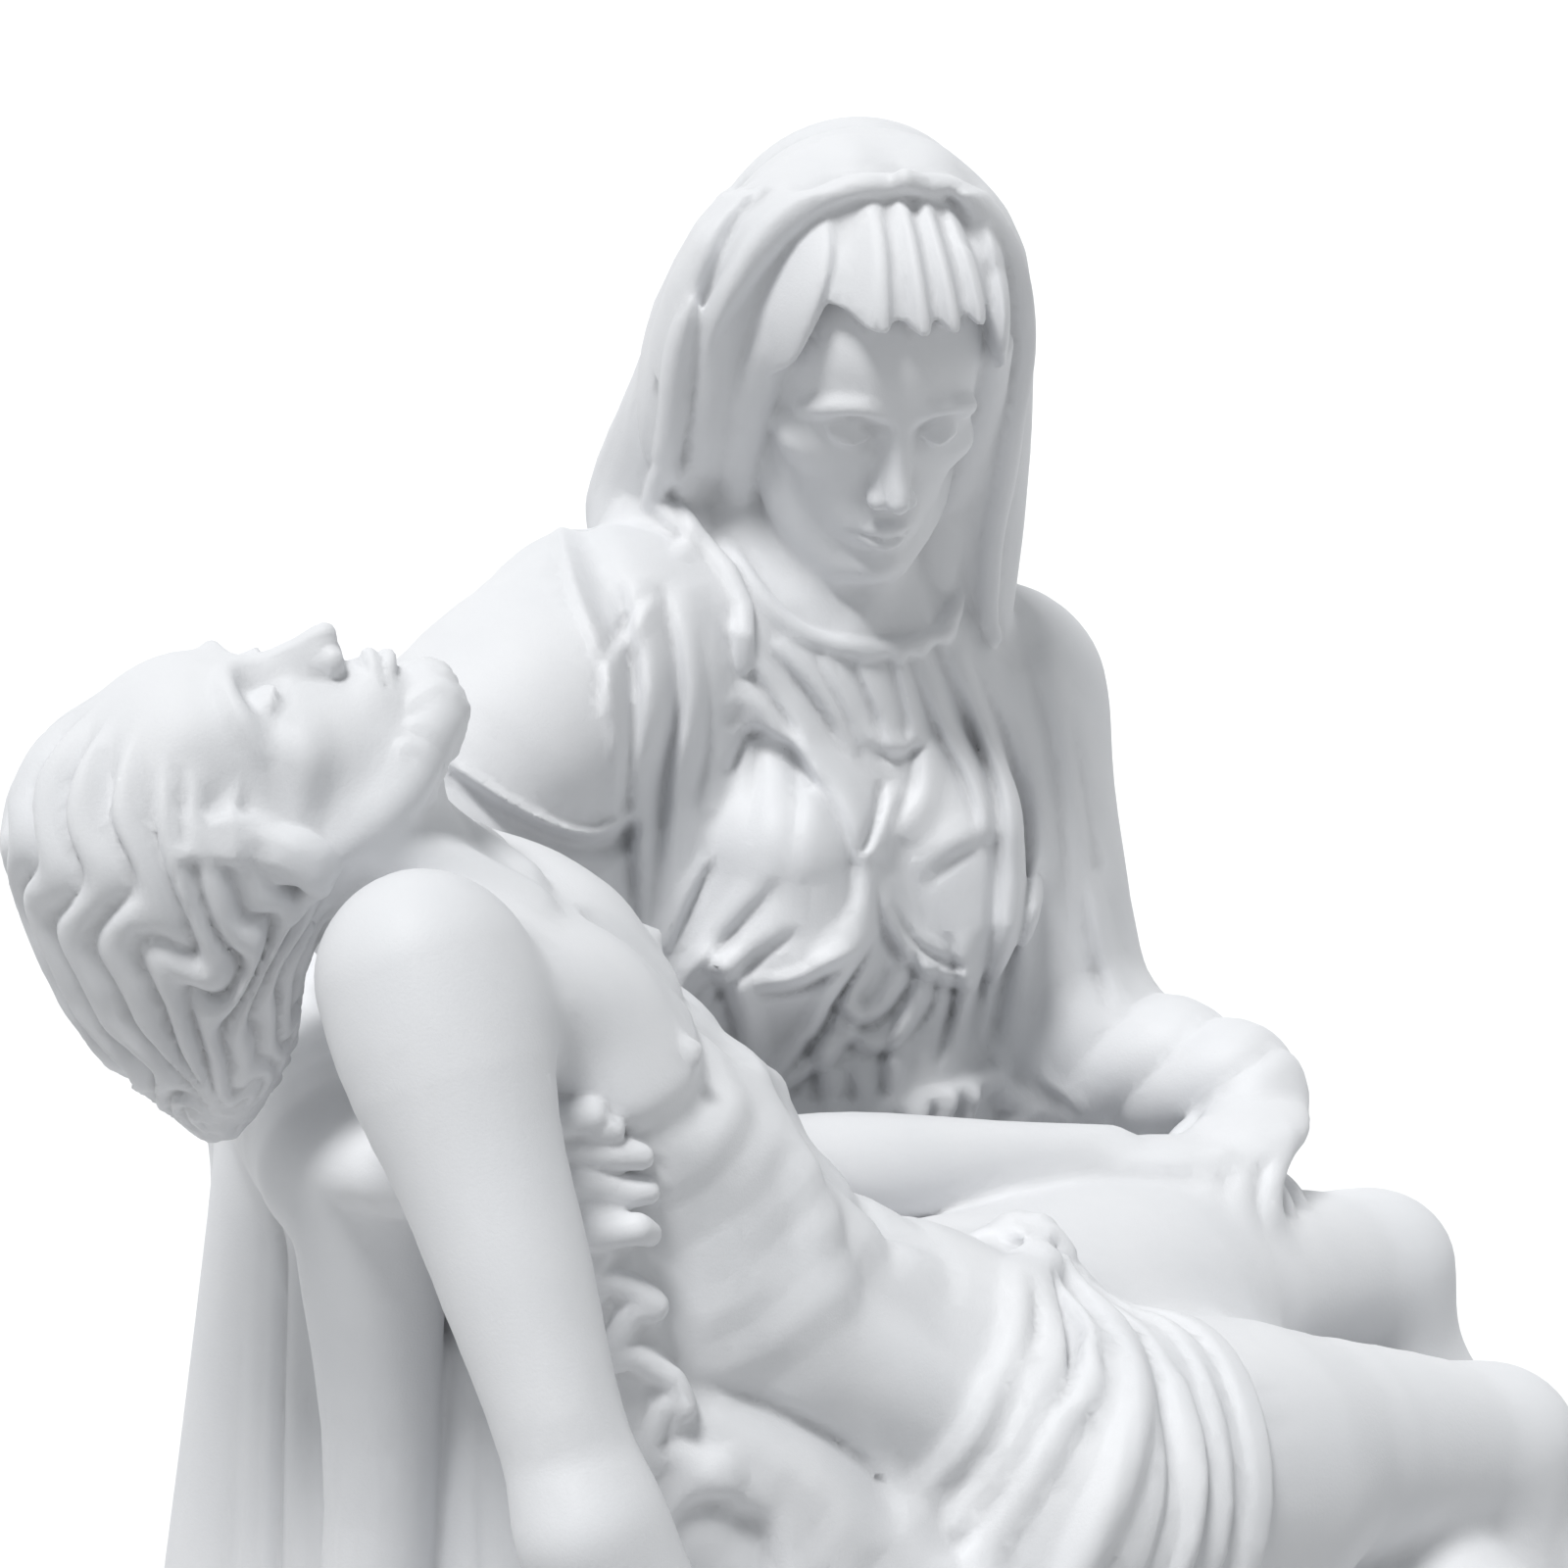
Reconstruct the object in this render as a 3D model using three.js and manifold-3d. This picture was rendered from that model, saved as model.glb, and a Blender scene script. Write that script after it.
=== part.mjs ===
// A seated, veiled woman with a dead man across her lap, cast in one piece with its low plinth.
// Millimetres, +Z up. The origin is the middle of the plinth's underside, and the group faces -Y.
import * as THREE from "three";
import { mergeVertices } from "three/addons/utils/BufferGeometryUtils.js";
import Module from "manifold-3d";

// Driving dimensions
const FIGURE_HEIGHT = 280; // from the plinth's top to the top of the veil
const PLINTH_LENGTH = 242;
const PLINTH_DEPTH = 192;
const PLINTH_HEIGHT = 20;
const PLINTH_CORNER = 16; // radius of the corners, seen from above
const PLINTH_BEVEL = 4; // width of the bevel round the top edge
const CORNER_STEPS = 5;
const FACETS = 9400; // triangles that the figures are simplified to

// The figures are modelled in parts: 273 parts from the plinth's top to the top of the veil.
const FIGURE_PARTS = 273;
const PART = FIGURE_HEIGHT / FIGURE_PARTS;
const SETTING = [2, 13]; // where the woman's seat stands, from the middle of the plinth, in parts
const STEP = 2.1; // distance between the samples of the modelled form
const FAR = 30; // a sample that no form has reached
const REACH = 8; // samples this close to a form know their distance to it
const FOOT = -6; // the forms run down to here, inside the plinth, so that they are one casting

// Points and frames
const at = (x, y, z) => new THREE.Vector3(x, y, z);
const mix = (a, b, t) => a + (b - a) * t;
const between = (a, b, t) => a.clone().lerp(b, t);
const moved = (a, x, y, z) => a.clone().add(at(x, y, z));

// A frame of a body: x to its right, y to its front, z up its length.
function bodyFrame(origin, up, front) {
  const z = up.clone().normalize();
  const x = new THREE.Vector3().crossVectors(front, z).normalize();
  const y = new THREE.Vector3().crossVectors(z, x);
  return { origin, x, y, z };
}

function place(frame, x, y, z) {
  return frame.origin
    .clone()
    .addScaledVector(frame.x, x)
    .addScaledVector(frame.y, y)
    .addScaledVector(frame.z, z);
}

// Forms: each has the box that it fills and a distance function, negative inside.

// A limb from a to b, with its radius at each end. Flat presses it along the direction side.
function limb(a, b, ra, rb = ra, flat = 1, side = at(0, 0, 1)) {
  const [dx, dy, dz] = [b.x - a.x, b.y - a.y, b.z - a.z];
  const square = Math.max(dx * dx + dy * dy + dz * dz, 1e-9);
  const s = side.clone().normalize();
  const distance = (px, py, pz) => {
    let [vx, vy, vz] = [px - a.x, py - a.y, pz - a.z];
    const t = Math.min(Math.max((vx * dx + vy * dy + vz * dz) / square, 0), 1);
    vx -= t * dx;
    vy -= t * dy;
    vz -= t * dz;
    const r = mix(ra, rb, t);
    const all = vx * vx + vy * vy + vz * vz;
    if (flat === 1) return Math.sqrt(all) - r;
    const along = vx * s.x + vy * s.y + vz * s.z;
    const rest = Math.max(all - along * along, 0) / (r * r);
    const pressed = (along * along) / (r * r * flat * flat);
    const k0 = Math.sqrt(rest + pressed);
    const k1 = Math.sqrt(rest / (r * r) + pressed / (r * r * flat * flat));
    return k1 < 1e-9 ? -r * flat : (k0 * (k0 - 1)) / k1;
  };
  const r = Math.max(ra, rb) * Math.max(flat, 1);
  return {
    low: a.clone().min(b).subScalar(r),
    high: a.clone().max(b).addScalar(r),
    distance,
  };
}

// Several forms as one
function together(forms) {
  const low = at(Infinity, Infinity, Infinity);
  const high = at(-Infinity, -Infinity, -Infinity);
  for (const form of forms) {
    low.min(form.low);
    high.max(form.high);
  }
  const distance = (px, py, pz) =>
    forms.reduce((d, form) => Math.min(d, form.distance(px, py, pz)), Infinity);
  return { low, high, distance };
}

// A form along a smooth line through points, with a radius at each point
function tube(points, radii, flat = 1, side = at(0, 0, 1)) {
  const curve = new THREE.CatmullRomCurve3(points);
  const steps = (points.length - 1) * 3;
  const sizes = new THREE.SplineCurve(radii.map((r, i) => new THREE.Vector2(i, r)));
  const line = [];
  for (let i = 0; i <= steps; i++) line.push(curve.getPoint(i / steps));
  const width = (i) => sizes.getPoint(i / steps).y;
  return together(line.slice(1).map((p, i) => limb(line[i], p, width(i), width(i + 1), flat, side)));
}

// A strand of hair or a roll of cloth along a smooth line, thin at both ends
function strand(points, radius, thin = 0.35) {
  const curve = new THREE.CatmullRomCurve3(points);
  const count = Math.max(4, Math.round(curve.getLength() / 5));
  const line = curve.getPoints(count);
  const width = (i) => radius * mix(thin, 1, Math.sin((Math.PI * i) / count) ** 0.6);
  return together(line.slice(1).map((p, i) => limb(line[i], p, width(i), width(i + 1))));
}

// An egg with a radius along each axis of a frame
function egg(frame, x, y, z, rx, ry, rz) {
  const c = place(frame, x, y, z);
  const { x: u, y: v, z: w } = frame;
  const distance = (px, py, pz) => {
    const [qx, qy, qz] = [px - c.x, py - c.y, pz - c.z];
    const ex = (qx * u.x + qy * u.y + qz * u.z) / rx;
    const ey = (qx * v.x + qy * v.y + qz * v.z) / ry;
    const ez = (qx * w.x + qy * w.y + qz * w.z) / rz;
    const k0 = Math.hypot(ex, ey, ez);
    const k1 = Math.hypot(ex / rx, ey / ry, ez / rz);
    return k1 < 1e-9 ? -Math.min(rx, ry, rz) : (k0 * (k0 - 1)) / k1;
  };
  const r = Math.max(rx, ry, rz);
  return { low: c.clone().subScalar(r), high: c.clone().addScalar(r), distance };
}

// A block with rounded edges, upright, from one corner to the other
function block(low, high, round) {
  const c = low.clone().add(high).multiplyScalar(0.5);
  const h = high.clone().sub(low).multiplyScalar(0.5).subScalar(round);
  const distance = (px, py, pz) => {
    const qx = Math.abs(px - c.x) - h.x;
    const qy = Math.abs(py - c.y) - h.y;
    const qz = Math.abs(pz - c.z) - h.z;
    const outside = Math.hypot(Math.max(qx, 0), Math.max(qy, 0), Math.max(qz, 0));
    return outside + Math.min(Math.max(qx, qy, qz), 0) - round;
  };
  return { low: low.clone(), high: high.clone(), distance };
}

// Cloth hanging round an upright axis: spread(t) gives the reach to +x, -x, +y and -y,
// and folds(angle, t) how far the cloth stands out there, with t from 0 at the foot to 1 at the top.
function hanging(centre, foot, top, spread, folds, square = 2.6) {
  const widest = [0, 0.5, 1].map((t) => Math.max(...spread(t)));
  const r = Math.max(...widest) + 10;
  const distance = (px, py, pz) => {
    const t = Math.min(Math.max((pz - foot) / (top - foot), 0), 1);
    const [cx, cy] = centre(t);
    const [x, y] = [px - cx, py - cy];
    const [right, left, back, front] = spread(t);
    const angle = Math.atan2(y, x);
    const away = Math.hypot(x, y);
    const c = Math.abs(Math.cos(angle)) / (x > 0 ? right : left);
    const s = Math.abs(Math.sin(angle)) / (y > 0 ? back : front);
    const edge = (c ** square + s ** square) ** (-1 / square);
    const round = 10;
    const d = (away - edge - folds(angle, t)) * 0.9 + round;
    const over = Math.max(pz - top, foot - pz) + round;
    const out = Math.hypot(Math.max(d, 0), Math.max(over, 0));
    return out + Math.min(Math.max(d, over), 0) - round;
  };
  const middle = centre(0.5);
  return {
    low: at(middle[0] - r, middle[1] - r, foot),
    high: at(middle[0] + r, middle[1] + r, top),
    distance,
  };
}

// A run of folds: round rolls with a narrow valley between each two
function rolls(phase) {
  return Math.abs(Math.sin(phase / 2)) ** 0.7 - 0.6;
}

// Masses run together, with a relief over them: height(u, v, w) says how far it stands out, with
// u, v and w the place in a frame.
function relief(masses, frame, height, merge = 5) {
  const { origin: o, x: ax, y: ay, z: az } = frame;
  const distance = (px, py, pz) => {
    let total = Infinity;
    for (const mass of masses) {
      const own = mass.distance(px, py, pz);
      const near = Math.max(merge - Math.abs(total - own), 0) / merge;
      total = Math.min(total, own) - (near * near * merge) / 4;
    }
    const [qx, qy, qz] = [px - o.x, py - o.y, pz - o.z];
    const u = qx * ax.x + qy * ax.y + qz * ax.z;
    const v = qx * ay.x + qy * ay.y + qz * ay.z;
    const w = qx * az.x + qy * az.y + qz * az.z;
    return total - height(u, v, w);
  };
  const { low, high } = together(masses);
  return { low, high, distance };
}

// Clay: samples of the distance to the modelled form, on a grid
class Clay {
  constructor(low, high) {
    this.low = low;
    this.size = high.clone().sub(low).divideScalar(STEP).ceil().toArray();
    const [nx, ny, nz] = this.size;
    this.values = new Float32Array(nx * ny * nz).fill(FAR);
  }

  // Calls change(value, x, y, z) at each sample in a box and keeps what it returns.
  work(low, high, change) {
    const [nx, ny, nz] = this.size;
    const from = low.clone().sub(this.low).divideScalar(STEP).ceil();
    const to = high.clone().sub(this.low).divideScalar(STEP).floor();
    for (let k = Math.max(from.z, 0); k <= Math.min(to.z, nz - 1); k++)
      for (let j = Math.max(from.y, 0); j <= Math.min(to.y, ny - 1); j++)
        for (let i = Math.max(from.x, 0); i <= Math.min(to.x, nx - 1); i++) {
          const n = (k * ny + j) * nx + i;
          this.values[n] = change(
            this.values[n],
            this.low.x + i * STEP,
            this.low.y + j * STEP,
            this.low.z + k * STEP,
          );
        }
  }

  // Adds a form, with a fillet of the given width where it meets the clay.
  add(form, fillet = 3) {
    const low = form.low.clone().subScalar(REACH);
    const high = form.high.clone().addScalar(REACH);
    this.work(low, high, (value, x, y, z) => {
      const d = form.distance(x, y, z);
      const near = Math.max(fillet - Math.abs(value - d), 0) / fillet;
      return Math.min(value, d) - (near * near * fillet) / 4;
    });
  }

  // Cuts a form away, with a rounded edge.
  carve(form, fillet = 2) {
    const low = form.low.clone().subScalar(REACH);
    const high = form.high.clone().addScalar(REACH);
    this.work(low, high, (value, x, y, z) => {
      const d = -form.distance(x, y, z);
      const near = Math.max(fillet - Math.abs(value - d), 0) / fillet;
      return Math.max(value, d) + (near * near * fillet) / 4;
    });
  }

  // The distance at a point, between the samples
  read(p) {
    const [nx, ny, nz] = this.size;
    const q = p.clone().sub(this.low).divideScalar(STEP);
    const i = Math.min(Math.max(Math.floor(q.x), 0), nx - 2);
    const j = Math.min(Math.max(Math.floor(q.y), 0), ny - 2);
    const k = Math.min(Math.max(Math.floor(q.z), 0), nz - 2);
    const [tx, ty, tz] = [q.x - i, q.y - j, q.z - k];
    const v = (a, b, c) => this.values[((k + c) * ny + j + b) * nx + i + a];
    const row = (b, c) => mix(v(0, b, c), v(1, b, c), tx);
    return mix(mix(row(0, 0), row(1, 0), ty), mix(row(0, 1), row(1, 1), ty), tz);
  }

  // Moves a point onto the surface, or to a height above it.
  onto(point, height = 0) {
    const p = point.clone();
    const e = STEP;
    for (let round = 0; round < 6; round++) {
      const slope = at(
        this.read(at(p.x + e, p.y, p.z)) - this.read(at(p.x - e, p.y, p.z)),
        this.read(at(p.x, p.y + e, p.z)) - this.read(at(p.x, p.y - e, p.z)),
        this.read(at(p.x, p.y, p.z + e)) - this.read(at(p.x, p.y, p.z - e)),
      );
      if (slope.lengthSq() < 1e-6) break;
      p.addScaledVector(slope.normalize(), height - this.read(p));
    }
    return p;
  }

  // Lays a fold of cloth or a lock of hair along points, on the surface.
  lay(points, radius, fillet = radius, thin = 0.35, height = -0.15 * radius) {
    const line = new THREE.CatmullRomCurve3(points).getPoints(points.length * 3);
    const laid = line.map((p) => this.onto(p, height));
    this.add(strand(laid, radius, thin), fillet);
  }

  // Lays a number of folds between a first and a last one. Each sways a little by itself.
  folds(first, last, count, radius, sway = 0, fillet = radius) {
    for (let i = 0; i < count; i++) {
      const t = count > 1 ? i / (count - 1) : 0;
      const points = first.map((p, k) =>
        moved(between(p, last[k], t), sway * Math.sin(2.3 * i + 1.7 * k), 0, sway * Math.sin(1.9 * i + 2.6 * k)),
      );
      this.lay(points, radius * (0.88 + 0.2 * Math.sin(2.4 * i + 0.6)), fillet);
    }
  }

}

// The skeletons, in parts, with the woman's seat at x = 0, y = 0
const WOMAN = {
  pelvis: at(-2, 30, 96),
  waist: at(-3, 29, 136),
  chest: at(-5, 26, 172),
  head: bodyFrame(at(-13, 6, 240), at(-0.17, -0.4, 0.9), at(-0.36, -0.82, -0.44)),
  headHeight: 47,
  shoulders: { right: at(-42, 25, 203), left: at(29, 25, 192) },
  elbows: { right: at(-85, 26, 157), left: at(30, 13, 143) },
  wrists: { right: at(-108, -14, 154), left: at(38, -22, 140) },
  hips: { right: at(-20, 26, 92), left: at(20, 26, 90) },
  knees: { right: at(-58, -54, 96), left: at(24, -62, 72) },
  ankles: { right: at(-54, -76, 12), left: at(20, -74, 12) },
};

const MAN = {
  pelvis: bodyFrame(at(-40, -46, 119), at(-0.78, 0.12, 0.6), at(0.3, -0.35, 0.88)),
  chest: bodyFrame(at(-87, -35, 160), at(-0.66, 0.12, 0.74), at(0.53, -0.5, 0.66)),
  head: bodyFrame(at(-125, -21, 199), at(-0.9, 0.38, 0.04), at(-0.06, -0.24, 0.97)),
  headHeight: 44,
  shoulders: { right: at(-124, -52, 184), left: at(-95, -2, 184) },
  elbows: { right: at(-121, -76, 131), left: at(-48, -10, 142) },
  wrists: { right: at(-106, -85, 85), left: at(6, -22, 137) },
  knees: { right: at(43, -56, 97), left: at(53, -26, 113) },
  ankles: { right: at(62, -74, 36), left: at(84, -48, 46) },
};
MAN.hips = {
  right: place(MAN.pelvis, 14, -1, -6),
  left: place(MAN.pelvis, -14, -1, -6),
};

// The stone block that the woman sits on, and the step under the man's feet
function seat(clay) {
  clay.add(block(at(-78, 2, FOOT), at(80, 66, 74), 2.5), 1);
  clay.add(block(at(48, -96, FOOT), at(104, -20, 8), 3), 1);
}

// The gown from the lap to the ground
function skirt(clay) {
  const { pelvis, hips, knees, ankles } = WOMAN;
  for (const side of ["right", "left"]) {
    clay.add(tube([hips[side], between(hips[side], knees[side], 0.5), knees[side]], [27, 24, 18]), 12);
    clay.add(tube([knees[side], between(knees[side], ankles[side], 0.4), ankles[side]], [18, 19, 21]), 10);
  }
  clay.add(limb(pelvis, WOMAN.waist, 33, 26), 10);
  const lap = [at(-20, 8, 90), at(-20, -30, 88), at(-18, -56, 84)];
  clay.add(tube(lap, [30, 26, 21]), 14);
  const centre = (t) => [mix(-14, -14, t), -12];
  const spread = (t) => [mix(76, 52, t), mix(78, 66, t), mix(70, 52, t), mix(84, 54, t)];
  const folds = (angle, t) => {
    const sway = 0.16 * Math.sin(3 * angle + 1) + 0.07 * Math.sin(7 * angle + 2.2 * t);
    const large = rolls(13 * (angle + sway)) * mix(8, 3, t);
    const front = angle + Math.PI / 2;
    return large - 12 * Math.exp(-((front / 0.3) ** 2)) * mix(0.4, 1, t);
  };
  clay.add(hanging(centre, FOOT, 84, spread, folds), 8);
  clay.add(limb(moved(ankles.right, 0, -6, -6), moved(ankles.right, -6, -24, -8), 8, 5, 1.2, at(1, 0, 0)), 3);
}

// Long rolls of cloth over the knees and down to the ground, with swags hanging between the knees
function skirtFolds(clay) {
  const { right, left } = WOMAN.knees;
  const down = (knee, from, to, foot, out) => [
    moved(knee, from, -12, 10),
    moved(knee, mix(from, to, 0.3) * 1.2, -22, -16),
    moved(knee, to, -24, -52),
    at(foot, -out, 6),
  ];
  clay.folds(down(right, -17, -30, -104, 70), down(right, 14, 22, -34, 100), 6, 4.8, 1.4, 4);
  clay.folds(down(left, -12, -16, 2, 98), down(left, 13, 26, 56, 90), 5, 4.6, 1.4, 4);
  const swag = (low, sag) => [
    moved(right, 16, -14, low - 4),
    at(-34, -80, 92 + low - 0.7 * sag),
    at(-18, -82, 90 + low - sag),
    at(-2, -80, 86 + low - 0.8 * sag),
    moved(left, -14, -12, low + 6),
  ];
  clay.folds(swag(4, 8), swag(-50, 30), 6, 4.2, 0.6, 4);
  const hem = (x, y) => at(x, y, 3);
  clay.folds([hem(-96, -66), hem(-70, -92), hem(-44, -98)], [hem(-86, -74), hem(-64, -98), hem(-36, -104)], 2, 4, 1, 3);
  clay.folds([hem(-26, -96), hem(0, -98), hem(30, -98)], [hem(-14, -100), hem(12, -104), hem(44, -96)], 2, 4, 1, 3);
}

// Her body above the lap, in the gown
function bodice(clay) {
  const { waist, chest, shoulders } = WOMAN;
  const deep = at(0, 1, 0);
  clay.add(tube([waist, between(waist, chest, 0.6), chest], [27, 28, 31], 0.76, deep), 8);
  clay.add(tube([shoulders.right, at(-6, 22, 200), shoulders.left], [14, 14, 14]), 10);
  clay.add(limb(chest, at(-6, 23, 192), 30, 22, 0.72, deep), 10);
  clay.add(tube([at(-7, 20, 194), at(-9, 16, 214), at(-12, 12, 230)], [12, 10, 10.5]), 6);
  for (const x of [-19, 9]) clay.add(limb(at(x, 7, 176), at(x, 9, 168), 9, 12), 9);
}

// Folds on the breast: a gathered neckline, a sweep of cloth from the right shoulder, and a girdle
function bodiceFolds(clay) {
  const collar = [];
  for (let i = 0; i <= 8; i++) {
    const a = mix(-0.1, 1.1, i / 8) * Math.PI;
    collar.push(at(-8 + 19 * Math.cos(a), 17 - 14 * Math.sin(a), 202 - 7 * Math.sin(a)));
  }
  clay.lay(collar, 1.8, 2, 1);
  const gather = (top, foot) => [at(top, 6, 198), at(mix(top, foot, 0.6), -2, 186), at(foot, -4, 170)];
  clay.folds(gather(-24, -26), gather(10, 18), 8, 1.7, 0.6, 2.2);
  const high = [at(-35, 6, 202), at(-26, -2, 184), at(-8, -6, 168), at(12, -2, 158), at(28, 10, 152)];
  const low = [at(-38, 8, 180), at(-32, 0, 164), at(-20, -2, 154), at(-4, -2, 149), at(12, 2, 146)];
  clay.folds(high, low, 5, 2.3, 0.6, 2.6);
  const girdle = [];
  for (let i = 0; i <= 10; i++) {
    const a = (i / 10) * Math.PI;
    girdle.push(at(-3 + 28 * Math.cos(a), 28 - 23 * Math.sin(a), 143 - 3 * Math.sin(a)));
  }
  clay.lay(girdle, 3, 2, 1);
  const pleat = (x) => [at(x, 2, 140), at(1.15 * x, -4, 128), at(1.3 * x, -8, 112)];
  clay.folds(pleat(-24), pleat(20), 7, 2.6, 0.8, 3);
}

// The mantle over her shoulders, down her back and over the seat
function mantle(clay) {
  const centre = (t) => [mix(0, -4, t), mix(38, 30, t)];
  const spread = (t) => {
    const side = mix(mix(74, 50, t), mix(50, 45, t), t);
    return [side, side + 2, mix(38, 20, t), 12];
  };
  const folds = (angle, t) => {
    const sway = 0.2 * Math.sin(2 * angle + 0.6) + 0.08 * Math.sin(5 * angle + 2 * t);
    return rolls(15 * (angle + sway)) * mix(6, 2.2, t);
  };
  clay.add(hanging(centre, FOOT, 204, spread, folds, 2.3), 4);
  const { shoulders, elbows } = WOMAN;
  clay.add(tube([shoulders.right, between(shoulders.right, elbows.right, 0.5), elbows.right], [16, 18, 17]), 8);
  clay.add(tube([shoulders.left, between(shoulders.left, elbows.left, 0.5), elbows.left], [13, 13, 13]), 8);
  clay.add(tube([at(-34, 26, 190), at(-44, 24, 150), at(-52, 16, 104)], [15, 16, 20]), 8);
  clay.add(tube([at(26, 28, 184), at(32, 27, 148), at(40, 24, 104)], [14, 15, 18]), 8);
}

// The mantle's plane over her right shoulder, with its edge, and the bunched sleeve below it
function mantleFront(clay) {
  const shoulder = WOMAN.shoulders.right;
  const elbow = WOMAN.elbows.right;
  const sleeve = bodyFrame(shoulder, elbow.clone().sub(shoulder), at(0, -1, 0));
  const bunches = (u, v, w) => {
    const angle = Math.atan2(v, u);
    return 1.5 * rolls(0.5 * w + 2.4 * angle + 0.8 * Math.sin(3 * angle));
  };
  const upper = tube([shoulder, between(shoulder, elbow, 0.5), between(shoulder, elbow, 0.9)], [15, 16.5, 15]);
  clay.add(relief([upper], sleeve, bunches), 3);
  const plane = [at(-43, 24, 206), at(-58, 21, 197), at(-74, 23, 185)];
  clay.add(tube(plane, [15, 17.5, 15.5], 0.92), 3);
  clay.lay([at(-44, 22, 218), at(-52, 10, 209), at(-54, 6, 197), at(-51, 7, 184)], 2, 1.5, 0.8);
  clay.lay([at(-51, 7, 184), at(-60, 5, 182), at(-70, 6, 186), at(-78, 12, 190), at(-84, 18, 190)], 2, 1.5, 0.8);
}

// Her right arm holds the man's shoulders; the mantle falls from it to the ground in deep folds
function rightArm(clay) {
  const { elbows, wrists } = WOMAN;
  clay.add(tube([elbows.right, between(elbows.right, wrists.right, 0.5), wrists.right], [15, 13.5, 10.5]), 8);
  const centre = (t) => [mix(-96, -90, t), mix(10, 14, t)];
  const spread = (t) => [mix(26, 16, t), mix(22, 13, t), mix(34, 18, t), mix(38, 24, t)];
  const folds = (angle, t) => {
    const sway = 0.3 * Math.sin(2 * angle + 1.4) + 0.15 * Math.sin(5 * angle + t);
    return rolls(10 * (angle + sway)) * mix(5.5, 2.5, t);
  };
  clay.add(hanging(centre, FOOT, 150, spread, folds, 2.2), 8);
  clay.add(tube([at(-84, -20, 128), at(-82, -30, 70), at(-80, -36, 4)], [15, 19, 24]), 10);
  // The folds that face the front, each narrow where it leaves the arm
  const falls = [
    [[at(-97, 16, 150), at(-103, 21, 92), at(-113, 26, 4)], [9, 9.5, 12]],
    [[at(-96, 0, 146), at(-98, 7, 92), at(-108, 8, 4)], [6, 8.5, 11]],
    [[at(-92, -12, 138), at(-93, -5, 92), at(-104, -8, 4)], [5, 8, 10]],
    [[at(-84, -22, 130), at(-86, -18, 92), at(-96, -24, 4)], [6, 8, 10]],
  ];
  for (const [line, radii] of falls) clay.add(tube(line, radii), 1.6);
}

// Her left arm comes forward to the man's hand; its sleeve falls in long folds
function leftArm(clay) {
  const [shoulder, elbow, wrist] = [WOMAN.shoulders.left, WOMAN.elbows.left, WOMAN.wrists.left];
  const angle = (u, v) => Math.atan2(v, u);
  const upper = tube([shoulder, between(shoulder, elbow, 0.5), elbow], [12.5, 13, 13]);
  const side = bodyFrame(shoulder, shoulder.clone().sub(elbow), at(0, -1, 0));
  clay.add(relief([upper], side, (u, v, w) => 1.4 * rolls(8 * angle(u, v) + 0.05 * w)), 5);
  const lower = tube([elbow, between(elbow, wrist, 0.5), between(elbow, wrist, 0.86)], [13, 10.5, 9]);
  const across = bodyFrame(elbow, wrist.clone().sub(elbow), at(0, 0, 1));
  clay.add(relief([lower], across, (u, v, w) => 1.4 * rolls(0.62 * w + 2 * angle(u, v))), 3);
  clay.add(limb(between(elbow, wrist, 0.7), wrist, 6.5, 4.6), 1);
  const hung = tube([elbow, moved(elbow, 2, 6, -20), moved(elbow, 6, 12, -44)], [13, 13, 14]);
  const down = bodyFrame(elbow, at(0, 0, 1), at(0, -1, 0));
  clay.add(relief([hung], down, (u, v, w) => 1.6 * rolls(8 * angle(u, v) + 0.7 * Math.sin(0.12 * w))), 6);
  hand(clay, bodyFrame(wrist, at(-0.86, -0.45, -0.2), at(0, 0.1, -1)), 34, 0.22, 1);
}

// Her right hand comes round his back under the arm, with its fingers on his side
function rightHand(clay) {
  hand(clay, bodyFrame(at(-109, -20, 157), at(0.22, -0.97, 0.1), at(0.9, 0.22, 0.1)), 37, 0.25, -1);
}

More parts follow.
